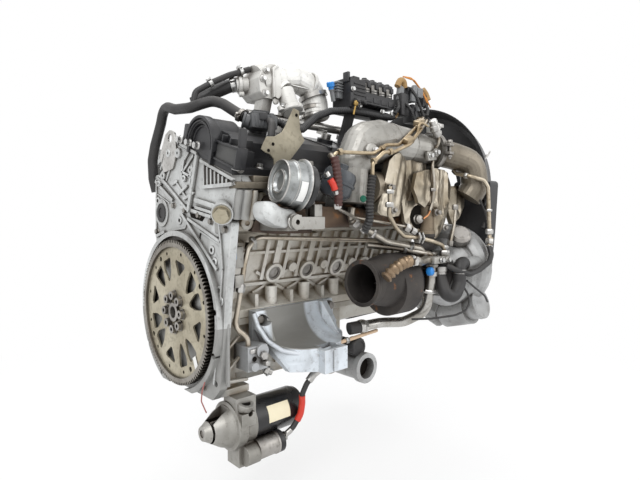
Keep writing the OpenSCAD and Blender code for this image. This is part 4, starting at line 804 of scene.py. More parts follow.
piece(
    "solenoid_cans",
    worn_steel("solenoid can steel", (0.36, 0.35, 0.33), (0.16, 0.15, 0.14), (0.04, 0.035, 0.03), (0.22, 0.4)),
    *(knob(
          [(11.8, 0), (13, 1.2), (13, 12), (12.4, 12.8), (12.4, 14.2), (13, 15), (13, 17), (12.4, 17.8), (12.4, 19.2),
           (13, 20), (13, 34), (11.5, 36)],
          Matrix.Translation((402 + 27 * i, -152, 460)), 26)
      for i in range(4)))
piece(
    "solenoid_caps", black_nylon,
    *(part for i in range(4)
      for part in (
          knob(
              [(13.6, 0), (13.6, 6), (11, 8.5), (6, 8.5), (6, 13)], Matrix.Translation((402 + 27 * i, -152, 495)),
              26),
          brick((-5, -17, -2), (5, -10, 10), Matrix.Translation((402 + 27 * i, -152, 486)), 1),
          brick((-11, -15.5, -18), (11, -11, -6), Matrix.Translation((402 + 27 * i, -152, 470)), 1))),
    *(brick((350, -170, z), (388, -167, z + 3), soft=0.7) for z in (460, 468, 476, 484)),
    brick((352, -166, 494), (372, -130, 502), soft=1.5), brick((334, -166, 486), (341, -150, 508), soft=1.2),
    brick((380, -160, 492), (392, -130, 500), soft=1.2),
    *(knob([(5, 0), (5, 16), (3.5, 18)], stood((x, -168, 446), (0, -1, -0.2)), 16) for x in (352, 372)))
blue_nylon = moulded("blue cap plastic", (0.02, 0.22, 0.62), (0.10, 0.16, 0.24), (0.3, 0.45), 0.05)
piece(
    "port_cap", blue_nylon,
    knob([(6, 0), (6, 5), (8.6, 6), (8.6, 14), (7, 16)], stood((306, -142, 468), (-0.35, -0.15, 1)), 18))
piece(
    "spare_port", grey_plug,
    knob([(5, 0), (5, 22), (6.5, 23), (6.5, 26)], stood((315, -140, 444), (-0.35, -0.1, 1)), 16),
    *(brick((318, -150, 466 + 6 * i), (336, -132, 469 + 6 * i), soft=0.8) for i in range(4)),
    brick((322, -146, 452), (338, -132, 490), soft=1))
screws(
    "carrier_screws", [(366, -170, 438, OUT), (446, -168, 436, OUT), (478, -168, 436, OUT), (343, -172, 470, OUT)], 8,
    5, silver)


# ---------------------------------------------------------------------------
# Recirculation duct: an aluminium casting in two halves, with a groove where
# they part, cast bosses, four long screws and a rubber-lined clamp on its bend.

piece(
    "duct_bosses", clean_casting,
    slab([(174, 435), (172, 494), (186, 504), (189, 500), (177, 491), (179, 437)], 35, 110, side_plane, 1),
    *(knob([(7, 0), (7, 3), (5, 4)], stood((x, -101, z), OUT), 18)
      for x, z in ((158, 442), (152, 470), (160, 488), (184, 430))),
    *(knob([(8, 0), (7, 7)], stood((x, -76, z), (0, -0.2, 1)), 18) for x, z in ((204, 500), (240, 507))),
    knob([(23, 0), (24, 2), (24, 9), (22, 11)], stood((215.4, -115, 420), (0.08, -0.35, -1)), 28),
    *(knob([(8, -4), (8, 5)], stood((215 + 24 * side, -116 - 3 * side, 414), (0.08, -0.35, -1)), 18)
      for side in (-1, 1)),
    *(brick((222, -98 + 0.4 * t, 484 + t), (290, -95 + 0.4 * t, 486.5 + t), soft=0.8) for t in (-14, 0, 14)),
    hoop([(28, 0), (31, 0), (31.5, 2), (31.5, 7), (30, 9), (28, 9)], stood((289, -83, 484), (1, -0.1, -0.25)), 30))
screws(
    "duct_screws",
    [(158, -105, 442, OUT), (152, -105, 470, OUT), (160, -105, 488, OUT), (204, -77, 507, (0, -0.2, 1)),
     (239, -113, 417, (0, -0.3, 1)), (191, -118, 418, (0, -0.3, 1))],
    8, 6, silver)
clamp("duct_clamp", (304.5, -90, 432), (0.05, 0.1, 0.75), 57.5, 10, dull_steel, 200)
clamp("duct_clamp_low", (304, -95.5, 417), (0, 0.15, 1), 57, 7, bright_steel, 240)


# ---------------------------------------------------------------------------
# Charge elbow and pipe: the aluminium elbow leaves the scroll of the small
# turbocharger, a V-band clamp joins it to the bent pipe over the shields, and
# two yellow vacuum pipes cross it in clips.

piece(
    "elbow_ribs", dull_casting,
    *(turned([(r - 4, -2.5), (r + 1, -1.5), (r + 1.8, 0), (r + 1, 1.5), (r - 4, 2.5)], stood(middle, axis), 40)
      for middle, axis, r in (
          ((316, -236, 343), (1, 0, 0.35), 36), ((350, -237, 349), (1, 0, 0.1), 42.5),
          ((436, -251, 344.5), (1, -0.17, -0.06), 35))),
    slab([(300, 330), (322, 366), (344, 376), (372, 379), (372, 383), (340, 381), (317, 370),
     (295, 333)], 236, 262, side_plane, 1),
    knob([(15, 0), (15, 16), (12, 19)], stood((286, -266, 316), (-0.2, -1, 0.2)), 24),
    brick((-16, -10, 0), (16, 10, 9), stood((462, -288, 322), (0, -1, 0.1), 8), 2),
    rod(9, 10, stood((474, -290, 330), (0, -1, 0.1)), 18))
screws(
    "elbow_screws", [(286, -286, 319, (-0.2, -1, 0.2)), (455, -298, 323, OUT), (474, -301, 331, OUT)], 9, 6, silver)
piece(
    "v_band", dull_steel,
    hoop([(40.2, -7.5), (42, -7.5), (44, -3), (44, 3), (42, 7.5), (40.2, 7.5)], stood((507, -262, 340), FRONT), 44),
    *(brick((499, -318, 340 + 9 * side - 3), (515, -300, 340 + 9 * side + 3), soft=1) for side in (-1, 1)),
    knob([(3, -22), (3, 20)], stood((507, -312, 340)), 12), nut((507, -312, 356), UP, 10, 8),
    nut((507, -312, 324), UP, 9, 5))

piece(
    "vacuum_pipe_clips", yellow_tube,
    *(brick((-7, -4, -13), (7, 9, 13), stood(middle, (1, 0, 0.4), spin), 1.5)
      for middle, spin in (((372, -300, 343), 30), ((447, -272, 393), 20))),
    *(nut(a, (1, 0, 0.3), 12, 9)
      for a in ((213, -262, 312), (300, -291, 323), (268, -298, 296), (310, -304, 317), (420, -290, 379))))


# ---------------------------------------------------------------------------
# Heat shields: two pressed sheets with turned-back sides, stiffening ridges and
# a dimpled surface hang over the exhaust manifold; a stud and a rivet each.

def pressed(name, outline, face_y, depth, ridges, skin, dish):
    """A thin sheet facing -Y with ridges (from, to, width, height), its rim turned back by depth."""
    pitch = 5           # of the mesh in the sheet
    rim = []
    for a, b in zip(outline, outline[1:] + outline[:1]):
        steps = max(1, round(math.dist(a, b) / pitch))
        rim += [Vector((a[0] + (b[0] - a[0]) * k / steps, a[1] + (b[1] - a[1]) * k / steps)) for k in range(steps)]
    xs, zs = [p[0] for p in outline], [p[1] for p in outline]
    inside = []
    x = min(xs) + pitch
    while x < max(xs):
        z = min(zs) + pitch
        while z < max(zs):
            crossings = sum((a[1] > z) != (b[1] > z) and x < (b[0] - a[0]) * (z - a[1]) / (b[1] - a[1]) + a[0]
                            for a, b in zip(outline, outline[1:] + outline[:1]))
            if crossings % 2 and min((Vector((x, z)) - p).length for p in rim) > 0.6 * pitch:
                inside.append(Vector((x, z)))
            z += pitch
        x += pitch
    loop = [(k, (k + 1) % len(rim)) for k in range(len(rim))]
    points, _, faces, _, _, _ = delaunay_2d_cdt(rim + inside, loop, [], 1, 0.001)
    wide, mid = (max(xs) - min(xs)) / 2, (max(xs) + min(xs)) / 2

    def height(p):
        lift = dish * (1 - ((p.x - mid) / wide) ** 2)
        for start, end, width, tall in ridges:
            start, end = Vector(start), Vector(end)
            share = max(0, min(1, (p - start).dot(end - start) / (end - start).length_squared))
            lift += tall * math.exp(-((p - start - share * (end - start)).length / width) ** 2)
        return lift

    shape = bmesh.new()
    made = [shape.verts.new((p.x, -face_y - height(p), p.y)) for p in points]
    for face in faces:
        shape.faces.new([made[i] for i in face])
    edges = [e for e in shape.edges if e.is_boundary]
    back = bmesh.ops.extrude_edge_only(shape, edges=edges)["geom"]
    moved = [v for v in back if isinstance(v, bmesh.types.BMVert)]
    centre = Vector((mid, 0, (max(zs) + min(zs)) / 2))
    for vert in moved:
        inward = (centre - Vector((vert.co.x, 0, vert.co.z))).normalized()
        vert.co += Vector((0, depth, 0)) + inward * 1.5
    bmesh.ops.recalc_face_normals(shape, faces=shape.faces)
    if sum(f.normal.y for f in shape.faces if abs(f.normal.y) > 0.8) > 0:
        bmesh.ops.reverse_faces(shape, faces=shape.faces)
    bmesh.ops.solidify(shape, geom=list(shape.faces), thickness=1.4)
    return piece(name, skin, shape, turn=50)


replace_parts(pressed(
    "shield_rear_sheet",
    [(360, 318), (372, 323), (390, 323), (402, 317), (412, 298), (408, 276), (402, 256), (388, 222), (383, 200),
     (376, 192), (348, 189), (322, 194), (315, 200), (316, 212), (327, 240), (338, 280), (346, 306)],
    266, 16,
    [((378, 316), (352, 240), 7, 5), ((352, 240), (340, 200), 9, 3), ((398, 300), (372, 214), 6, 3.5),
     ((330, 232), (320, 204), 6, 2.5)],
    shield_sheet, 8), "heat_shield_rear")
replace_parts(pressed(
    "shield_front_sheet",
    [(480, 294), (486, 299), (526, 297), (540, 290), (570, 264), (562, 238), (546, 206), (530, 176), (514, 156),
     (498, 142), (488, 141), (468, 152), (475, 174), (466, 204), (474, 238), (478, 270)],
    276, 16,
    [((496, 292), (492, 216), 7, 7), ((492, 216), (506, 190), 8, 5), ((506, 190), (496, 154), 8, 6),
     ((536, 288), (536, 226), 6, 5), ((536, 226), (522, 186), 5, 4)],
    shield_sheet, 10), "heat_shield_front")
pressed(
    "shield_side_sheet",
    [(560, 262), (600, 265), (640, 256), (634, 216), (606, 188), (578, 172), (566, 196), (558, 226)], 272, 12,
    [((582, 256), (582, 200), 7, 7), ((596, 254), (604, 206), 5, -4), ((566, 240), (566, 214), 4, -4)], shield_sheet,
    6)
pressed(
    "shield_mid_sheet",
    [(418, 284), (446, 292), (474, 294), (480, 252), (464, 226), (444, 210), (424, 220), (410, 250)], 286, 10,
    [((432, 280), (428, 236), 8, 4), ((458, 284), (452, 232), 9, -4), ((428, 258), (470, 262), 5, 3)], shield_sheet,
    5)
piece(
    "shield_studs", dull_steel,
    *(knob([(7.5, 0), (7.5, 2), (4.5, 3), (4.5, 8), (3.5, 9)], stood((x, y, z), OUT), 20)
      for x, y, z in ((340, -280, 250), (486, -292, 200), (352, -278, 204), (506, -300, 166))),
    nut((340, -287, 250), OUT, 10, 6), nut((486, -300, 200), OUT, 10, 6))


# ---------------------------------------------------------------------------
# Water pipes: bent steel tubes with a thin zinc coat meet in a small manifold
# block on the turbocharger; unions, clips and hose ends join them, and painted
# shade darkens the joints.

water_pipes = tube(
    "water_pipes",
    [[(262, -246, 186), (272, -246, 177), (298, -246, 166), (348, -262, 138), (426, -292, 122), (438, -292, 112),
      (438, -292, 96)],
     [(268, -240, 208), (264, -240, 190), (270, -244, 176)]],
    15, drawn_tube, 22, 3, 18)
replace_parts(water_pipes, "coolant_pipes")
tube(
    "lower_water_pipe",
    [(325, -230, 131), (352, -249, 128), (379, -268, 125), (426, -293, 113), (459, -298, 108), (464, -298, 96)], 14,
    drawn_tube, 20, 3, 18)
tube(
    "main_water_pipe",
    [(336, -196, -50), (392, -212, -46), (424, -250, -44), (442, -298, -14), (442, -308, 50), (442, -308, 96)], 22,
    worn_steel("bright drawn tube", (0.52, 0.51, 0.485), (0.36, 0.345, 0.31), (0.15, 0.11, 0.07), (0.22, 0.4)), 44, 3,
    22)
side_tube = worn_steel(
    "stained side tube", (0.62, 0.57, 0.49), (0.44, 0.375, 0.29), (0.16, 0.11, 0.06), (0.28, 0.46), 0.8)
tube(
    "side_water_pipe",
    [(420, -176, 136), (99, -152, 152), (80, -151.5, 132), (70, -152, 100), (62, -152, 55), (54, -150, 10),
     (50, -150, -8), (56, -152, -20), (76, -154, -36), (76, -154, -54)],
    10, side_tube, 26, 3, 16)
piece(
    "pipe_manifold", dull_casting, brick((428, -328, 90), (490, -281, 105), soft=2),
    brick((434, -292, 76), (458, -270, 93), soft=2),
    *(nut((x, y, 108), UP, 19, 9) for x, y in ((438, -292), (464, -298), (483, -316))),
    nut((442, -308, 86), UP, 28, 9),
    knob([(9, 0), (9, 8), (11.5, 9), (11.5, 14), (8, 18)], stood((472, -310, 84), (0, 0, -1)), 20),
    knob([(11, 0), (11, 4), (8, 5), (8, 12)], stood((490, -306, 97), FRONT), 20),
    *(knob([(5.5, 0), (5.5, 3), (4, 4)], stood((x, -328, z), OUT), 16) for x, z in ((452, 99), (471, 99))))
tube("water_pipe_boot", [(314, -188, -52), (340, -196.5, -50)], 27, black_rubber, 10, 3, 20)
screws("manifold_screws", [(452, -330, 98, OUT), (476, -330, 98, OUT), (448, -288, 106, UP)], 9, 6, silver)
piece(
    "pipe_unions", bright_steel,
    *(nut(*union)
      for union in (
          ((270, -246, 178), (1, 0, -0.6), 21, 14), ((318, -252, 155), (1, -0.3, -0.55), 19, 7),
          ((404, -284, 128), (1, -0.4, -0.2), 19, 8), ((392, -276, 122), (1, -0.5, -0.2), 19, 7),
          ((442, -305, 30), (0, -0.1, 1), 27, 8), ((352, -200.5, -49), (1, -0.3, 0.08), 26, 8),
          ((62, -151.5, 58), (0.15, 0, 1), 15, 16), ((90, -151.6, 146), (0.6, 0, 0.4), 15, 8))),
    knob([(14, 0), (15, 2), (15, 9), (13, 11)], stood((338, -196, -50), (1, -0.3, 0.08)), 24))
piece(
    "side_pipe_clip", dull_casting, brick((46, -158, 60), (66, -146, 84), soft=2),
    brick((40, -150, 52), (52, -132, 70), soft=1.5), brick((86, -156, 128), (98, -128, 142), soft=2),
    brick((48, -156, 96), (68, -140, 136), soft=3))
piece(
    "knock_sensor_plug", moulded("pale blue nylon", (0.3, 0.42, 0.56), (0.3, 0.33, 0.36), (0.3, 0.5), 0.1),
    brick((34, -160, 112), (50, -138, 132), soft=2), brick((36, -164, 115), (46, -158, 128), soft=1))

# Oil feed and vacuum pipes, passivated yellow, with unions at their ends.
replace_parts(tube(
    "upper_vacuum_pipes",
    [[(202, -252, 300), (204, -256, 309), (216, -259, 312), (276, -290, 312), (314, -291, 332), (352, -292, 336),
      (420, -284, 380), (500, -240, 410), (564, -200, 434), (564, -178, 434)],
     [(266, -296, 266), (264, -298, 292), (290, -304, 314), (322, -304, 318), (372, -304, 338), (424, -294, 376),
      (500, -250, 402), (580, -200, 430), (580, -178, 430)]],
    7.5, yellow_tube, 14, 3, 14), "oil_pipes")
oil_tube = worn_steel("warm drawn tube", (0.56, 0.50, 0.40), (0.38, 0.32, 0.235), (0.13, 0.085, 0.045), (0.24, 0.42))
tube(
    "oil_feed_pipe",
    [(318, -296, 250), (318, -296, 220), (318, -294, 194), (340, -294, 168), (364, -296, 150), (407, -304, 146),
     (440, -314, 138), (476, -316, 128), (483, -316, 116), (483, -316, 102)],
    9, oil_tube, 20, 3, 16)
tube(
    "right_oil_pipe",
    [(566, -284, 299), (566, -290, 291), (566, -330, 282), (596, -346, 274), (604, -352, 258), (606, -356, 148),
     (600, -358, 122)],
    9, oil_tube, 14, 3, 16)
piece(
    "oil_pipe_nuts", bright_steel,
    *(nut(*union)
      for union in (
          ((318, -295, 214), (0, 0, 1), 15, 10), ((318, -296, 240), (0, 0, 1), 15, 8),
          ((401, -303, 146.5), (1, -0.2, 0), 24, 5), ((409, -305, 145.5), (1, -0.2, -0.1), 24, 4),
          ((483, -316, 112), (0, 0, 1), 19, 10), ((483, -316, 124), (0, 0, 1), 15, 7),
          ((605, -356.2, 156), (0, 0, 1), 15, 12), ((602.5, -357.4, 134), (0.2, 0, 1), 17, 12),
          ((602, -357.6, 122), (0.2, 0, 1), 15, 5), ((605.6, -354, 205), (0, 0, 1), 13, 6),
          ((566, -318, 284), (0, -1, -0.2), 13, 8))))
piece("blue_sensor", blue_nylon, knob([(7, 0), (9, 3), (9, 11), (6, 14)], stood((424, -312, 74), (0.3, -1, 0.1)), 20))

# Black convoluted hose, brown sleeve and thin pipe from the canister's actuator.
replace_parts(tube(
    "convoluted_hose", [(266, -296, 268), (262, -297, 252), (256, -298, 214), (260, -294, 182), (262, -280, 164)], 15,
    black_rubber, 22, rib=1.3, pitch=6, sides=16), "vacuum_pipes")
maroon = moulded("maroon heat sleeve", (0.065, 0.022, 0.018), (0.12, 0.08, 0.065), (0.5, 0.7), 0.5, 600)
tube(
    "actuator_sleeve", [(168, -292, 296), (172, -294, 276), (175, -295, 250), (178, -293, 226), (182, -288, 212)], 15,
    maroon, 14, rib=0.8, pitch=7)
tube(
    "actuator_pipe", [(201, -254, 298), (190, -258, 303), (178, -274, 302), (172, -288, 292), (170, -293, 282)], 9,
    drawn_tube, 10, 3)
tube(
    "thin_pipe",
    [(182, -286, 212), (190, -282, 204), (248, -268, 188), (330, -280, 177), (372, -292, 170), (390, -298, 162)], 6,
    drawn_tube, 14, 3, 12)
piece(
    "thin_pipe_nuts", bright_steel,
    *(nut(*union)
      for union in (
          ((181, -287, 210), (0.4, 0.2, -1), 13, 10), ((378, -294, 167), (1, -0.4, -0.5), 17, 12),
          ((392, -300, 160), (1, -0.4, -0.5), 13, 12), ((170, -292, 285), (0.1, -0.3, -1), 12, 6),
          ((264, -276, 166), (0, 1, -0.5), 19, 8))))


# ---------------------------------------------------------------------------
# Rubber coolant hoses: the U-shaped hose to the compressor's water spigot, a
# brown ribbed metal bellows with a dark elbow, and a small return hose.

u_route = [
    (474, -310, 84), (474, -310, 60), (468, -322, 38), (466, -330, 24), (484, -340, 14), (506, -340, 44),
    (508, -338, 84), (520, -338, 88), (536, -338, 86)]
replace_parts(tube("u_hose", u_route, 28, black_rubber, 20, 3, 22), "coolant_hoses")
bellows_skin = worn_steel(
    "browned bellows", (0.33, 0.24, 0.155), (0.19, 0.13, 0.085), (0.08, 0.055, 0.035), (0.3, 0.5), 0.7)
tube(
    "bellows_hose", [(276, -321, 74), (292, -326, 88), (311, -329, 98), (330, -330, 102), (340, -330, 103)], 21,
    bellows_skin, 30, rib=2.0, pitch=11, sides=20)
tube(
    "bellows_elbow", [(338, -330, 103), (366, -328, 103), (384, -322, 97), (412, -313, 98), (432, -312, 98)], 17,
    drawn_tube, 16, 3, 18)
tube(
    "small_return_hose",
    [(600, -359, 122), (597, -366, 104), (584, -368, 88), (556, -360, 72), (520, -356, 64), (486, -340, 76),
     (478, -326, 84)],
    12, black_rubber, 16, 3, 16)
clamp("bellows_clamp", (343, -330, 103), (1, 0, 0), 20, 9, bright_steel, 100)
clamp("u_hose_clamp", (508, -338.4, 70), (0.05, 0, 1), 29, 9, bright_steel, 200)
clamp("u_hose_clamp_low", (474, -310, 70), (0, 0, 1), 29, 9, bright_steel, 150)
tube(
    "scroll_wires",
    [[(606, -330, 232), (618, -338, 200), (622, -344, 168), (616, -350, 140)],
     [(516, -352, 50), (548, -356, 30), (584, -358, 10), (612, -350, -8)],
     [(508, -348, 38), (514, -356, 22), (512, -362, 4), (496, -362, -12), (470, -352, -20), (430, -322, -26),
      (400, -290, -28)]],
    4.5, black_rubber, 22, 3, 8)


# ---------------------------------------------------------------------------
# Rear faces: the head and the chain case carry cast ribs, bosses and tapped
# holes that stand a few millimetres proud, and the bell flange has rails down
# its exhaust edge. They belong to the castings and share their skin.

def rib(start, end, wide, low, high, place):
    """A straight cast rib with rounded ends between two points of a face."""
    a, b = Vector(start), Vector(end)
    along = (b - a).normalized() * wide / 2
    side = Vector((-along.y, along.x))
    outline = [a - side, a - side * 0.6 - along * 0.8, a - along, a + side * 0.6 - along * 0.8, a + side,
               b + side, b + side * 0.6 + along * 0.8, b + along, b - side * 0.6 + along * 0.8, b - side]
    return slab([(p.x, p.y) for p in outline[::-1]], low, high, place, 1.2)


piece(
    "head_rear_ribs", raw_casting,
    *(rib(a, b, wide, 16 - out - 1, 17, rear_plane)
      for a, b, wide, out in (
          ((66, 271), (-40, 206), 6, 4), ((-87, 303), (-52, 204), 9, 7), ((-70, 306), (-30, 280), 5, 4),
          ((-53, 315), (-23, 292), 5, 4), ((-27, 279), (-70, 264), 5, 5), ((-74, 283), (-54, 268), 6, 5),
          ((-1, 262), (19, 257), 6, 4), ((-44, 250), (-12, 237), 6, 5), ((-70, 236), (-32, 226), 6, 5),
          ((2, 260), (-40, 228), 4, 3), ((-22, 333), (-84, 309), 6, 5), ((-80, 222), (-150, 209), 9, 6),
          ((-76, 209), (-132, 199), 6, 4), ((-100, 294), (-206, 254), 6, 5), ((20, 300), (46, 268), 5, 3),
          ((70, 292), (52, 320), 5, 4))),
    *(turned([(3, 0), (r, 0), (r + 1, -1.5), (r + 1, -6), (3, -6), (3, 0)], stood((9.5, y, z), REAR), 20)
      for y, z, r in ((-10, 317, 9), (31, 321, 8), (58, 277, 7), (-62, 280, 7), (-34, 266, 6), (80, 262, 6))))

piece(
    "case_rear_ribs", raw_casting,
    *(rib(a, b, wide, 18 - out - 1, 19, rear_plane)
      for a, b, wide, out in (
          ((-42, 187), (-160, 146), 6, 4), ((-85, 165), (-158, 141), 4, 3), ((-93, 140), (-133, 106), 4, 3),
          ((44, 161), (-26, 169), 4, 2.5), ((-28, 169), (-37, 184), 4, 2.5), ((-158, 176), (-166, 100), 5, 4),
          ((-166, 96), (-150, -10), 4, 3.5), ((-150, -12), (-132, -116), 4, 3.5), ((100, 262), (104, 150), 5, 3),
          ((30, 250), (94, 274), 4, 3), ((40, 220), (96, 240), 3, 2))),
    *(hoop([(4.2, 0), (7.5, 0), (8.5, -1.2), (8.5, -4), (4.2, -4)], stood((14.4, y, z), REAR), 20)
      for y, z in ((-5, 184), (-129, 130), (-138, 109), (-119, 113), (-154, 59), (-158, 40), (94, 226), (98, 190))))
# Painted shadow: a near-black, barely reflecting skin for discs and strips that stand where holes and grooves are
# dark with shade.
hole_black, hole_tree, hole_shader = finish("painted hole shadow", 0.0, 0.9)
hole_shader.inputs["Specular IOR Level"].default_value = 0.08
hole_tree.links.new(
    mix(hole_tree, noise(hole_tree, 60, 4), (0.004, 0.004, 0.004), (0.016, 0.013, 0.01)),
    hole_shader.inputs["Base Color"])
# Painted shadow: black discs in the tapped holes and black strips along the grooves of the rear faces.
piece(
    "case_pocket_shadows", hole_black,
    *(rod(4.4, 2, stood((x, y, z), FRONT), 16)
      for y, z, x in (
          (-5, 184, 16.6), (-129, 130, 16.6), (-138, 109, 16.6), (-119, 113, 16.6), (-154, 59, 16.6),
          (-158, 40, 16.6), (94, 226, 16.6), (98, 190, 16.6), (-10, 317, 13.5), (31, 321, 13.5), (58, 277, 13.5))),
    slab([(-90, 160), (-84, 143), (-80, 142), (-84, 160)], 16.2, 18, rear_plane, 0.4),
    slab([(-46, 199), (-104, 190), (-94, 182), (-50, 190)], 16.2, 18, rear_plane, 0.4),
    slab([(-58, 205), (-124, 194), (-128, 190), (-62, 200)], 13.9, 16, rear_plane, 0.4))

# The flange rail and the stained web behind the bell face, down to the pan.
piece(
    "flange_rails", pan_casting,
    *(slab([(x, high), (x + 5, high), (x + 5, low), (x, low)], -y - 4, -y + 6, side_plane, 1)
      for x, y, high, low in ((24, -160, 60, -116), (30, -150, 40, -118))))
piece(
    "bell_webs", pan_casting, *(rib((38, z - 14), (66, z + 8), 4, 132, 140, side_plane) for z in (-8, -44, -84)),
    rib((40, -118), (84, -122), 6, 128, 138, side_plane))

# Columns and a tapped lug cast on the exhaust wall of the head, beside the canister.
piece(
    "head_columns", pan_casting,
    *(turned(
          [(0, 0), (r, 0), (r + 1, 3), (r, 8), (r, 46), (r - 2, 52), (0, 52)],
          stood((x, -195, 187), (0, -0.27, 0.96)), 24)
      for x, r in ((25, 8), (40, 10), (56, 7))),
    *(turned(
          [(0, 0), (r, 0), (r + 1, 3), (r, 8), (r, 40), (r - 2, 46), (0, 46)], stood((x, -176, 190), (0, -0.12, 1)),
          24)
      for x, r in ((72, 8), (88, 11))),
    knob(
        [(4.5, 22), (4.5, 26), (11, 26), (13, 24), (13, 2), (12, 0)], stood((66, -160, 184), (-0.35, -0.9, -0.2)),
        24),
    brick((14, -172, 160), (44, -140, 182), soft=4))
piece(
    "head_beam", pipe_casting,
    slab([(14, 238), (104, 240), (106, 246), (104, 252), (16, 250)], 190, 215, side_plane, 2),
    brick((50, -214, 250), (104, -180, 262), soft=2))
pressed(
    "manifold_heat_band",
    [(87, 229), (98, 231), (106, 221), (92, 212), (88, 197), (102, 182), (137, 174), (172, 174), (206, 168),
     (204, 158), (105, 159), (62, 164), (68, 186), (78, 213)],
    190, 14, [((84, 222), (72, 186), 6, 3), ((96, 170), (190, 166), 6, 3)],
    scaled_iron("burnt heat band", (0.115, 0.082, 0.06), (0.05, 0.034, 0.028), (0.2, 0.09, 0.045), 0.62), 6)

# Small bare tags: a patch on the flexplate, and the ones on canister and starter.
tag_paper = moulded("bare tag paper", (0.80, 0.80, 0.78), (0.55, 0.54, 0.50), (0.45, 0.6), 0.1)
piece(
    "flexplate_tag", tag_paper, slab([(-84, -72), (-74, -78), (-84, -98), (-95, -92)], 3.1, 4.2, rear_plane, 0.2),
    body="crank")


# ---------------------------------------------------------------------------
# Vacuum canister: a crimped steel can on a smooth cast arm, with a bare tag on
# its wall, a maroon-sleeved pipe beside it and the black bypass actuator behind.

can_axis = Vector((0.977, -0.157, -0.147)).normalized()
tag_side = Vector((-0.181, -0.970, -0.168))
tag_side = (tag_side - tag_side.dot(can_axis) * can_axis).normalized()
can_place = Matrix.Translation((69, -259, 250)) @ Matrix(
    (tag_side, can_axis.cross(tag_side), can_axis)).transposed().to_4x4()
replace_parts(piece(
    "canister_shell", canister_plate,
    knob([(14, 5), (16, 3), (18, 0.5), (21, 0.5), (22.5, 3), (31, 4), (33.5, 1), (36, 0), (37.5, 1.5), (37.5, 15),
     (40.5, 19), (40.5, 36), (44, 37.5), (45.5, 39), (45.5, 42), (43, 43.5), (40, 44), (38, 46), (14, 46), (13, 45),
     (13, 12)], can_place, 64)), "vacuum_canister")
piece(
    "canister_rims", bright_steel,
    *(turned(
          [(r + fat * math.cos(math.tau * k / 10), at + fat * math.sin(math.tau * k / 10)) for k in range(10)]
          + [(r + fat, at)], can_place, 64)
      for r, at, fat in ((36.2, 0.4, 1.6), (19.4, 0.2, 1.4), (45.0, 40.5, 1.5), (40.2, 18.6, 0.8))))
piece(
    "canister_rear", black_paint,
    hoop([(14, 46), (38, 46), (40, 48), (39, 58), (34, 60), (29, 60), (29, 52), (14, 52)], can_place, 48))
piece(
    "canister_arm", raw_casting,
    slab(
        [(42, 216), (30, 215), (27, 198), (33, 185), (52, 175), (74, 170), (97, 174), (104, 188), (95, 204),
         (80, 204), (64, 207), (54, 214)],
        238, 272, side_plane, 7))
piece(
    "canister_arm_lug", clean_casting,
    hoop([(4.5, -16), (12, -16), (14, -13), (14, 12), (12, 14), (4.5, 14)], stood((92, -262, 182), OUT), 28))
bend = [math.radians(-12 + 5 * k) for k in range(11)]
piece(
    "canister_tag", tag_paper,
    slab(
        [(41.1 * math.cos(a), 41.1 * math.sin(a)) for a in bend]
        + [(39.6 * math.cos(a), 39.6 * math.sin(a)) for a in bend[::-1]], 22, 35, can_place, 0))

# The bracket is the same casting with its strap remade as a thin flat plated sheet.
STRAP_FOOT, STRAP_BACK = 262 * MM, -206 * MM
bracket = bmesh.new()
bracket.from_mesh(nodes["canister_bracket"].data)
strap = [vert for vert in bracket.verts if vert.co.z > STRAP_FOOT and vert.co.y > STRAP_BACK]
bmesh.ops.delete(bracket, geom=strap, context="VERTS")
bmesh.ops.scale(bracket, vec=(1 / MM, 1 / MM, 1 / MM), verts=bracket.verts)
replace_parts(piece("canister_foot", dull_casting, bracket), "canister_bracket")
plated_sheet = worn_steel(
    "olive-plated sheet", (0.37, 0.335, 0.255), (0.24, 0.215, 0.16), (0.1, 0.08, 0.05), (0.4, 0.6), 0.6)
piece(
    "harness_strap", plated_sheet,
    slab(
        [(73, 330), (66, 318), (61, 307), (70, 302), (80, 300), (88, 292), (90, 272), (98, 262), (114, 268),
         (124, 292), (146, 316), (160, 332), (152, 345), (149, 352), (147, 385), (134, 388), (114, 352), (106, 341),
         (90, 332)],
        219, 222, side_plane, 0.8))
# Painted shadow: black discs on the strap where its holes are.
piece(
    "strap_hole_shadows", hole_black,
    *(rod(3, 1, stood((x, -221.6, z), OUT), 16) for x, z in ((86, 318), (76, 306), (140, 376))))

can_black = moulded("blue-black actuator paint", (0.050, 0.056, 0.064), (0.12, 0.12, 0.12), (0.18, 0.36), 0.08)
act_axis = stood((192, -262, 226), (0.28, -0.22, 0.92))
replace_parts(piece(
    "actuator_can", can_black,
    turned(
        [(0, 0), (20, 0), (26, 4), (31, 12), (31, 26), (33.5, 27), (33.5, 31), (31, 32), (31, 44), (27, 52), (16, 56),
         (0, 57)],
        act_axis, 36),
    knob([(9, 56), (9, 64), (6, 66)], act_axis, 20)), "bypass_actuator")
piece(
    "actuator_foot", dull_casting, brick((186, -262, 240), (206, -180, 250), soft=2),
    brick((186, -196, 236), (206, -184, 300), soft=2))
red_sleeve = moulded("red sleeve", (0.58, 0.035, 0.018), (0.28, 0.10, 0.07), (0.28, 0.45), 0.08)
tube("red_end", [(158, -292, 256), (164, -294, 246), (168, -294, 238)], 12, red_sleeve, 6, 2, 16)
piece(
    "red_end_nipple", bright_steel, nut((171, -294, 233), (0.4, 0, -1), 9, 7),
    rod(5.5, 8, stood((155, -291, 261), (-0.5, 0.2, 0.8)), 14))
piece(
    "green_plug", moulded("green plug nylon", (0.02, 0.16, 0.1), (0.1, 0.14, 0.11), (0.35, 0.5), 0.1),
    knob([(7, 0), (6, 3)], stood((262, -276, 225), (-0.4, -1, 0)), 20))
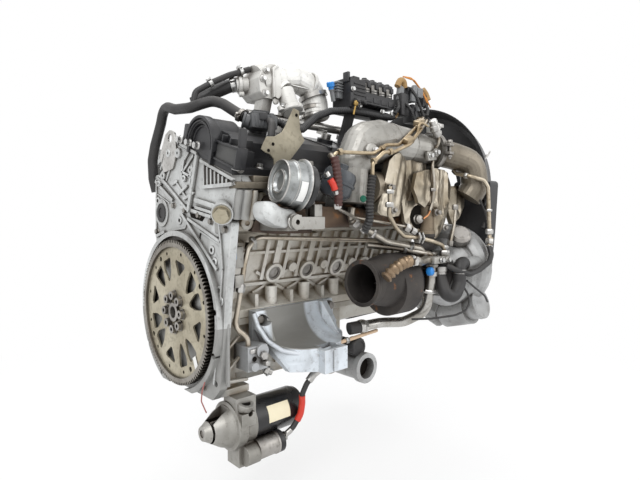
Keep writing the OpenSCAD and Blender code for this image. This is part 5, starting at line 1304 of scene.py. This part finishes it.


# ---------------------------------------------------------------------------
# Between the shields: a mottled inner sheet with a round opening, shown by a
# painted shadow disc, where the exhaust sensor's copper lead comes out.

pressed(
    "shield_inner_sheet",
    [(396, 322), (440, 330), (482, 318), (490, 250), (506, 204), (500, 176), (470, 156), (430, 158), (408, 180),
     (398, 230)],
    262, 10, [((420, 318), (424, 250), 8, 4), ((460, 312), (462, 250), 8, 4), ((424, 250), (462, 250), 6, 3)],
    shield_sheet, 6)
# Painted shadow: a black disc where the round opening in the inner sheet is.
piece("sensor_opening_shadow", hole_black, knob([(25, 0), (27, 1.5), (25, 3)], stood((452, -266, 190), OUT), 32))
piece(
    "exhaust_sensor", dull_steel,
    knob([(11, 0), (11, 6), (9, 8), (9, 14), (6, 16)], stood((444, -268, 184), (-0.3, -1, 0.1)), 20))
copper = worn_steel("copper", (0.72, 0.34, 0.16), (0.52, 0.22, 0.10), (0.2, 0.09, 0.04), (0.3, 0.45))
tube("sensor_lead_copper", [(446, -286, 186), (458, -290, 194), (470, -288, 206)], 4.5, copper, 8, 2, 10)
tube(
    "sensor_lead", [(468, -288, 204), (474, -290, 222), (474, -294, 262), (470, -292, 300), (474, -290, 318)], 7,
    drawn_tube, 12, 3, 14)
tube(
    "front_strut", [(541, -306, 216), (538, -308, 196), (530, -310, 168), (518, -308, 128)], 6.5, drawn_tube, 10, 3,
    12)
piece(
    "strut_links", dull_steel,
    *(nut(*union)
      for union in (
          ((541, -306, 212), (0, 0, 1), 12, 12), ((518, -308, 130), (0.2, 0, 1), 13, 12),
          ((474, -291, 250), (0, 0, 1), 12, 7))),
    knob([(22, 0), (24, 3), (24, 22), (18, 28)], stood((566, -300, 138), (-0.5, -0.5, 0.5)), 28))
screws(
    "cover_edge_screws",
    [(8, -97, 322, REAR), (8, -66, 331, REAR), (30, -202, 272, (-0.4, -0.9, 0.3)), (8, -30, 341, REAR)], 11, 9,
    silver)


# ---------------------------------------------------------------------------
# Starter: a black-painted motor can with a bare tag, a zinc-plated solenoid
# with a black cap beside it, and the battery lead in its red sleeve.

STARTER = (-126, -205)          # y and z of the two shafts
SOLENOID = (-160, -253)

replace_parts(piece(
    "starter_can", black_paint,
    knob([(38, 0), (39, 1), (39, 112), (37, 116), (36, 122), (30, 125)], stood((86, *STARTER), FRONT), 56),
    knob([(11, 0), (11, 5), (9, 7)], stood((211, *STARTER), FRONT), 24),
    knob([(20, 0), (21, 2), (21, 11), (17, 14)], stood((134, *SOLENOID), FRONT), 36)), "starter_motor")
piece(
    "starter_solenoid", dull_steel,
    knob([(19.5, 0), (20, 1), (20, 42), (21.5, 43), (21.5, 47), (20, 48)], stood((86, *SOLENOID), FRONT), 40))
piece(
    "starter_terminal", bright_steel, nut((150, -164, -246), FRONT, 13, 6),
    rod(4, 12, stood((147, -164, -246), FRONT), 14), brick((151, -172, -252), (156, -158, -238), soft=1.5),
    knob([(5, 0), (6, 1), (6, 15), (4.5, 17)], stood((154, -165, -244), (0.8, -0.2, 0.5)), 16))
cream = moulded("bare cream tag", (0.80, 0.72, 0.52), (0.62, 0.56, 0.42), (0.4, 0.55), 0.08)
turns = [math.radians(-6 + 4.8 * k) for k in range(11)]
tag_rim = [(39.5, a) for a in turns] + [(38, a) for a in turns[::-1]]
piece(
    "starter_tag", cream,
    slab([(STARTER[0] - r * math.cos(a), STARTER[1] + r * math.sin(a)) for r, a in tag_rim], 116, 168, rear_plane, 0))
lead = [
    (158, -166, -241), (172, -169, -232), (188, -172, -210), (192, -174, -182), (190, -176, -168), (198, -180, -148),
    (214, -184, -130), (232, -190, -118)]
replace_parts(tube("battery_lead", lead, 11, black_rubber, 22, 4, 14), "starter_cable")
tube(
    "battery_lead_sleeve", [(181, -170.6, -221), (189, -172.4, -208), (192, -174, -186), (190, -175.8, -170)], 13.5,
    red_sleeve, 22, 4, 14)
tube("battery_lead_duct", [(203, -181.5, -142), (214, -184, -130), (232, -190, -118)], 16, bright_steel, 22, 4, 16)
piece(
    "starter_lug", dull_casting,
    knob(
        [(11, -16), (15, -10), (16, -2), (16, 2), (14, 3), (10, 3), (9, -2)],
        stood((64, -160, -158), (0.1, -0.35, 1)), 30))
# Painted shadow: black discs where the starter lug's well and two other openings are dark with shade.
piece(
    "well_shadows", hole_black, rod(8.6, 2, stood((64.1, -160.6, -158.6), (0.1, -0.35, 1)), 20),
    rod(4.5, 1.5, stood((80, -168.2, -75), OUT), 18), rod(22.4, 3, stood((346, -190, -140), OUT), 40))
tube(
    "thin_starter_wire", [(2, -122, -112), (-6, -126, -126), (-8, -126, -144), (2, -126, -168)], 2.4,
    moulded("faded red wire", (0.3, 0.1, 0.09), (0.25, 0.16, 0.14), (0.4, 0.6), 0.1), 8, 3, 8)


# ---------------------------------------------------------------------------
# Support arm: a die-cast arm whose scoop is painted a duller grey and whose edges
# carry a strong painted highlight; a cast bead follows its rim, and a bolt with its
# washer sits in the pad.

SCOOP_CENTRE = (0, -0.198, 0.008)       # in metres; colour ramps need places from 0 to 1
# The scoop is painted a duller grey than the rest of the arm.
arm_tree = arm_casting.node_tree
skin_socket = arm_tree.nodes["Principled BSDF"].inputs["Base Color"]
arm_skin = skin_socket.links[0].from_socket
where = node(arm_tree, "TexCoord").outputs["Object"]
offset = node(arm_tree, "VectorMath", {0: where, 1: SCOOP_CENTRE}, operation="SUBTRACT").outputs[0]
across = node(arm_tree, "VectorMath", {0: offset, 1: (0, 1, 1)}, operation="MULTIPLY").outputs[0]
span = node(arm_tree, "VectorMath", {0: across}, operation="LENGTH").outputs["Value"]
inside = ramp(arm_tree, calc(arm_tree, "MULTIPLY", span, 10.0), [(0.762, 1.0), (0.778, 0.0)])
along = calc(arm_tree, "MULTIPLY", node(arm_tree, "SeparateXYZ", {0: where}).outputs["X"], 3.0)
between = ramp(arm_tree, along, [(0.375, 0.0), (0.4, 1.0), (0.715, 1.0), (0.735, 0.0)])
dull = mix(arm_tree, noise(arm_tree, 26, 6, (0.4, 1, 1)), (0.2, 0.195, 0.18), (0.34, 0.335, 0.315))
arm_tree.links.new(mix(arm_tree, mix(arm_tree, 1.0, inside, between, "MULTIPLY"), arm_skin, dull), skin_socket)
bead_skin = cast_metal("bright arm edge", (0.74, 0.78, 0.82), (0.60, 0.63, 0.67), (0.20, 0.19, 0.17), 0.01, 0.3, 0.3)
tube(
    "arm_bead",
    [(104, -132, 2), (108, -140, -22), (118, -158, -50), (140, -176, -69), (174, -194, -79), (214, -200, -82),
     (250, -198, -80), (268, -190, -72)],
    9, bead_skin, 26, 4, 14)
piece(
    "arm_dowel", bright_steel,
    turned(
        [(0, 0), (9, 0), (10, 1), (10, 3), (7.5, 3.5), (7, 5.5), (0, 6)], stood((204, -204, -92), (0, -1, 0.1)), 24))
tan_end = moulded("tan pipe coat", (0.62, 0.45, 0.30), (0.42, 0.30, 0.20), (0.35, 0.5), 0.1)
tube("arm_tail_pipe", [(268, -192, -76), (310, -197, -72), (352, -200, -68), (392, -200, -66)], 8, tan_end, 20, 4, 12)
piece("arm_tail_nut", bright_steel, nut((300, -196, -73), (1, -0.1, 0.1), 12, 9))


# ---------------------------------------------------------------------------
# Lower rear corner: the oil valve's screws and stub, and the ribbed rubber cap
# of the dry well above the axle tube.

piece(
    "valve_fittings", bright_steel, nut((96, -177, -70), OUT, 15, 7),
    knob([(6, 0), (6, 12), (4, 14)], stood((98, -172, -84), (0.2, -1, 0)), 18),
    knob([(8, 0), (9, 2), (9, 8), (6, 10), (6, 16)], stood((112, -156, -104), (0.7, -0.4, -0.4)), 20),
    brick((70, -170.5, -64), (84, -166, -56), soft=1.5))
AXLE_END = (336, -98, -95)
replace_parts(piece(
    "ribbed_axle_cap", black_rubber,
    knob([(15, 0), (15, 74), (18, 75), (21, 78), (21, 98), (19, 101), (14, 102),
     (13, 100)], stood(AXLE_END, OUT), 40),
    *(brick(
          (20, -2, 80), (22.5, 2, 97), stood(AXLE_END, OUT) @ Matrix.Rotation(math.tau * k / 10, 4, "Z"), 0.6)
      for k in range(10))), "axle_cap")


# ---------------------------------------------------------------------------
# Belt end, exhaust side: a cast bracket, two bright rails and black conduits
# are fixed to the side of the intake duct; a plated valve with its pipe stands
# over the charge elbow.

piece(
    "duct_carrier", grey_casting,
    slab(
        [(650, 262), (700, 270), (708, 262), (709, 236), (698, 218), (662, 222), (650, 236)], 292, 306, side_plane,
        2),
    brick((664, -312, 232), (692, -304, 252), soft=2),
    knob([(8, 0), (9, 1), (9, 8), (7, 9)], stood((700, -305, 228), OUT), 20))
tube(
    "duct_rails",
    [[(708, -300, 354), (690, -304, 342), (670, -304, 328), (684, -302, 312)],
     [(709, -290, 346), (692, -296, 333), (676, -297, 322)]],
    5, bright_steel, 10, 3, 12)
tube(
    "duct_conduits",
    [[(676, -304, 318), (690, -306, 290), (704, -306, 262), (702, -308, 214), (690, -310, 176), (684, -308, 150)],
     [(700, -300, 210), (682, -306, 186), (668, -306, 162)]],
    9, black_rubber, 20, 3, 14)
piece(
    "conduit_ends", yellow_tube, brick((684, -316, 120), (704, -300, 140), soft=3),
    nut((688, -310, 152), (0.1, 0, 1), 14, 9))
piece(
    "duct_valve", bright_steel,
    knob(
        [(8, 0), (9, 2), (9, 14), (12, 16), (12, 26), (9, 28), (9, 38), (6, 40)],
        stood((478, -300, 366), (-0.55, 0, 0.84)), 24),
    nut((476, -300, 372), (-0.55, 0, 0.84), 19, 8), nut((462, -300, 394), (-0.55, 0, 0.84), 16, 7),
    brick((470, -310, 384), (486, -298, 392), soft=1.5))
tube(
    "duct_valve_pipe", [(474, -300, 374), (482, -300, 362), (481, -300, 350), (480, -292, 340)], 7, drawn_tube, 10, 3,
    12)
tube(
    "duct_valve_stay", [(441, -300, 383), (420, -300, 388), (409, -300, 385), (408, -296, 366)], 5, yellow_tube, 8, 3,
    10)

# The bell flange of the pan is as grey as the case that it meets.
flange_tree = pan_casting.node_tree
flange_socket = flange_tree.nodes["Principled BSDF"].inputs["Base Color"]
stained_skin = flange_socket.links[0].from_socket
reach = node(flange_tree, "SeparateXYZ", {0: node(flange_tree, "TexCoord").outputs["Object"]}).outputs["X"]
on_flange = ramp(flange_tree, calc(flange_tree, "MULTIPLY", reach, 10.0), [(0.33, 1.0), (0.46, 0.0)])
bare = mix(flange_tree, noise(flange_tree, 34, 6), (0.23, 0.228, 0.218), (0.39, 0.388, 0.375))
flange_tree.links.new(mix(flange_tree, on_flange, stained_skin, bare), flange_socket)


# ---------------------------------------------------------------------------
# Intake and belt sides: what such engines have there and nothing more. Moulded
# hoops on the intake manifold, cooling fins and hub on the alternator, seams
# and lugs on the air conditioning compressor.

ALTERNATOR = (168, 140)         # y and z of the two shafts
COMPRESSOR = (150, -70)

piece(
    "manifold_hoops", black_nylon,
    *(slab([(108, 334), (176, 335), (186, 330), (193, 262), (190, 254), (166, 232), (158, 231),
       (108, 244)], x - 4, x + 4, rear_plane, 1.5)
      for x in (140, 218, 296, 374, 452, 530)))
piece(
    "alternator_vents", dull_casting,
    *(brick(
          (inner, -3, 0), (outer, 3, 4),
          stood((x, *ALTERNATOR), REAR) @ Matrix.Rotation(math.tau * k / 14, 4, "Z"), 1)
      for k in range(14) for inner, outer, x in ((16, 40, 523), (48, 60, 537))),
    knob([(13, 0), (14, 2), (13, 8), (11, 10)], stood((523, *ALTERNATOR), REAR), 28),
    *(hoop([(62, 0), (65.5, 0.5), (66, 2), (66, 5), (65.5, 6.5), (62, 7)], stood((x, *ALTERNATOR), FRONT), 56)
      for x in (546, 588, 622)))
lug_turns = [math.radians(turn) for turn in (20, 140, 260)]
piece(
    "compressor_lugs", raw_casting,
    *(part for x in (492, 592)
      for part in (
          hoop([(56, 0), (59, 0.5), (60, 2), (60, 7), (59, 8.5), (56, 9)], stood((x, *COMPRESSOR), FRONT), 48),
          *(knob(
                [(9, 0), (10, 2), (10, 16), (8, 18)],
                stood((x - 5, COMPRESSOR[0] + 56 * math.cos(a), COMPRESSOR[1] + 56 * math.sin(a)), FRONT), 20)
            for a in lug_turns))),
    knob([(34, 0), (38, 3), (40, 8)], stood((460, *COMPRESSOR), FRONT), 36))
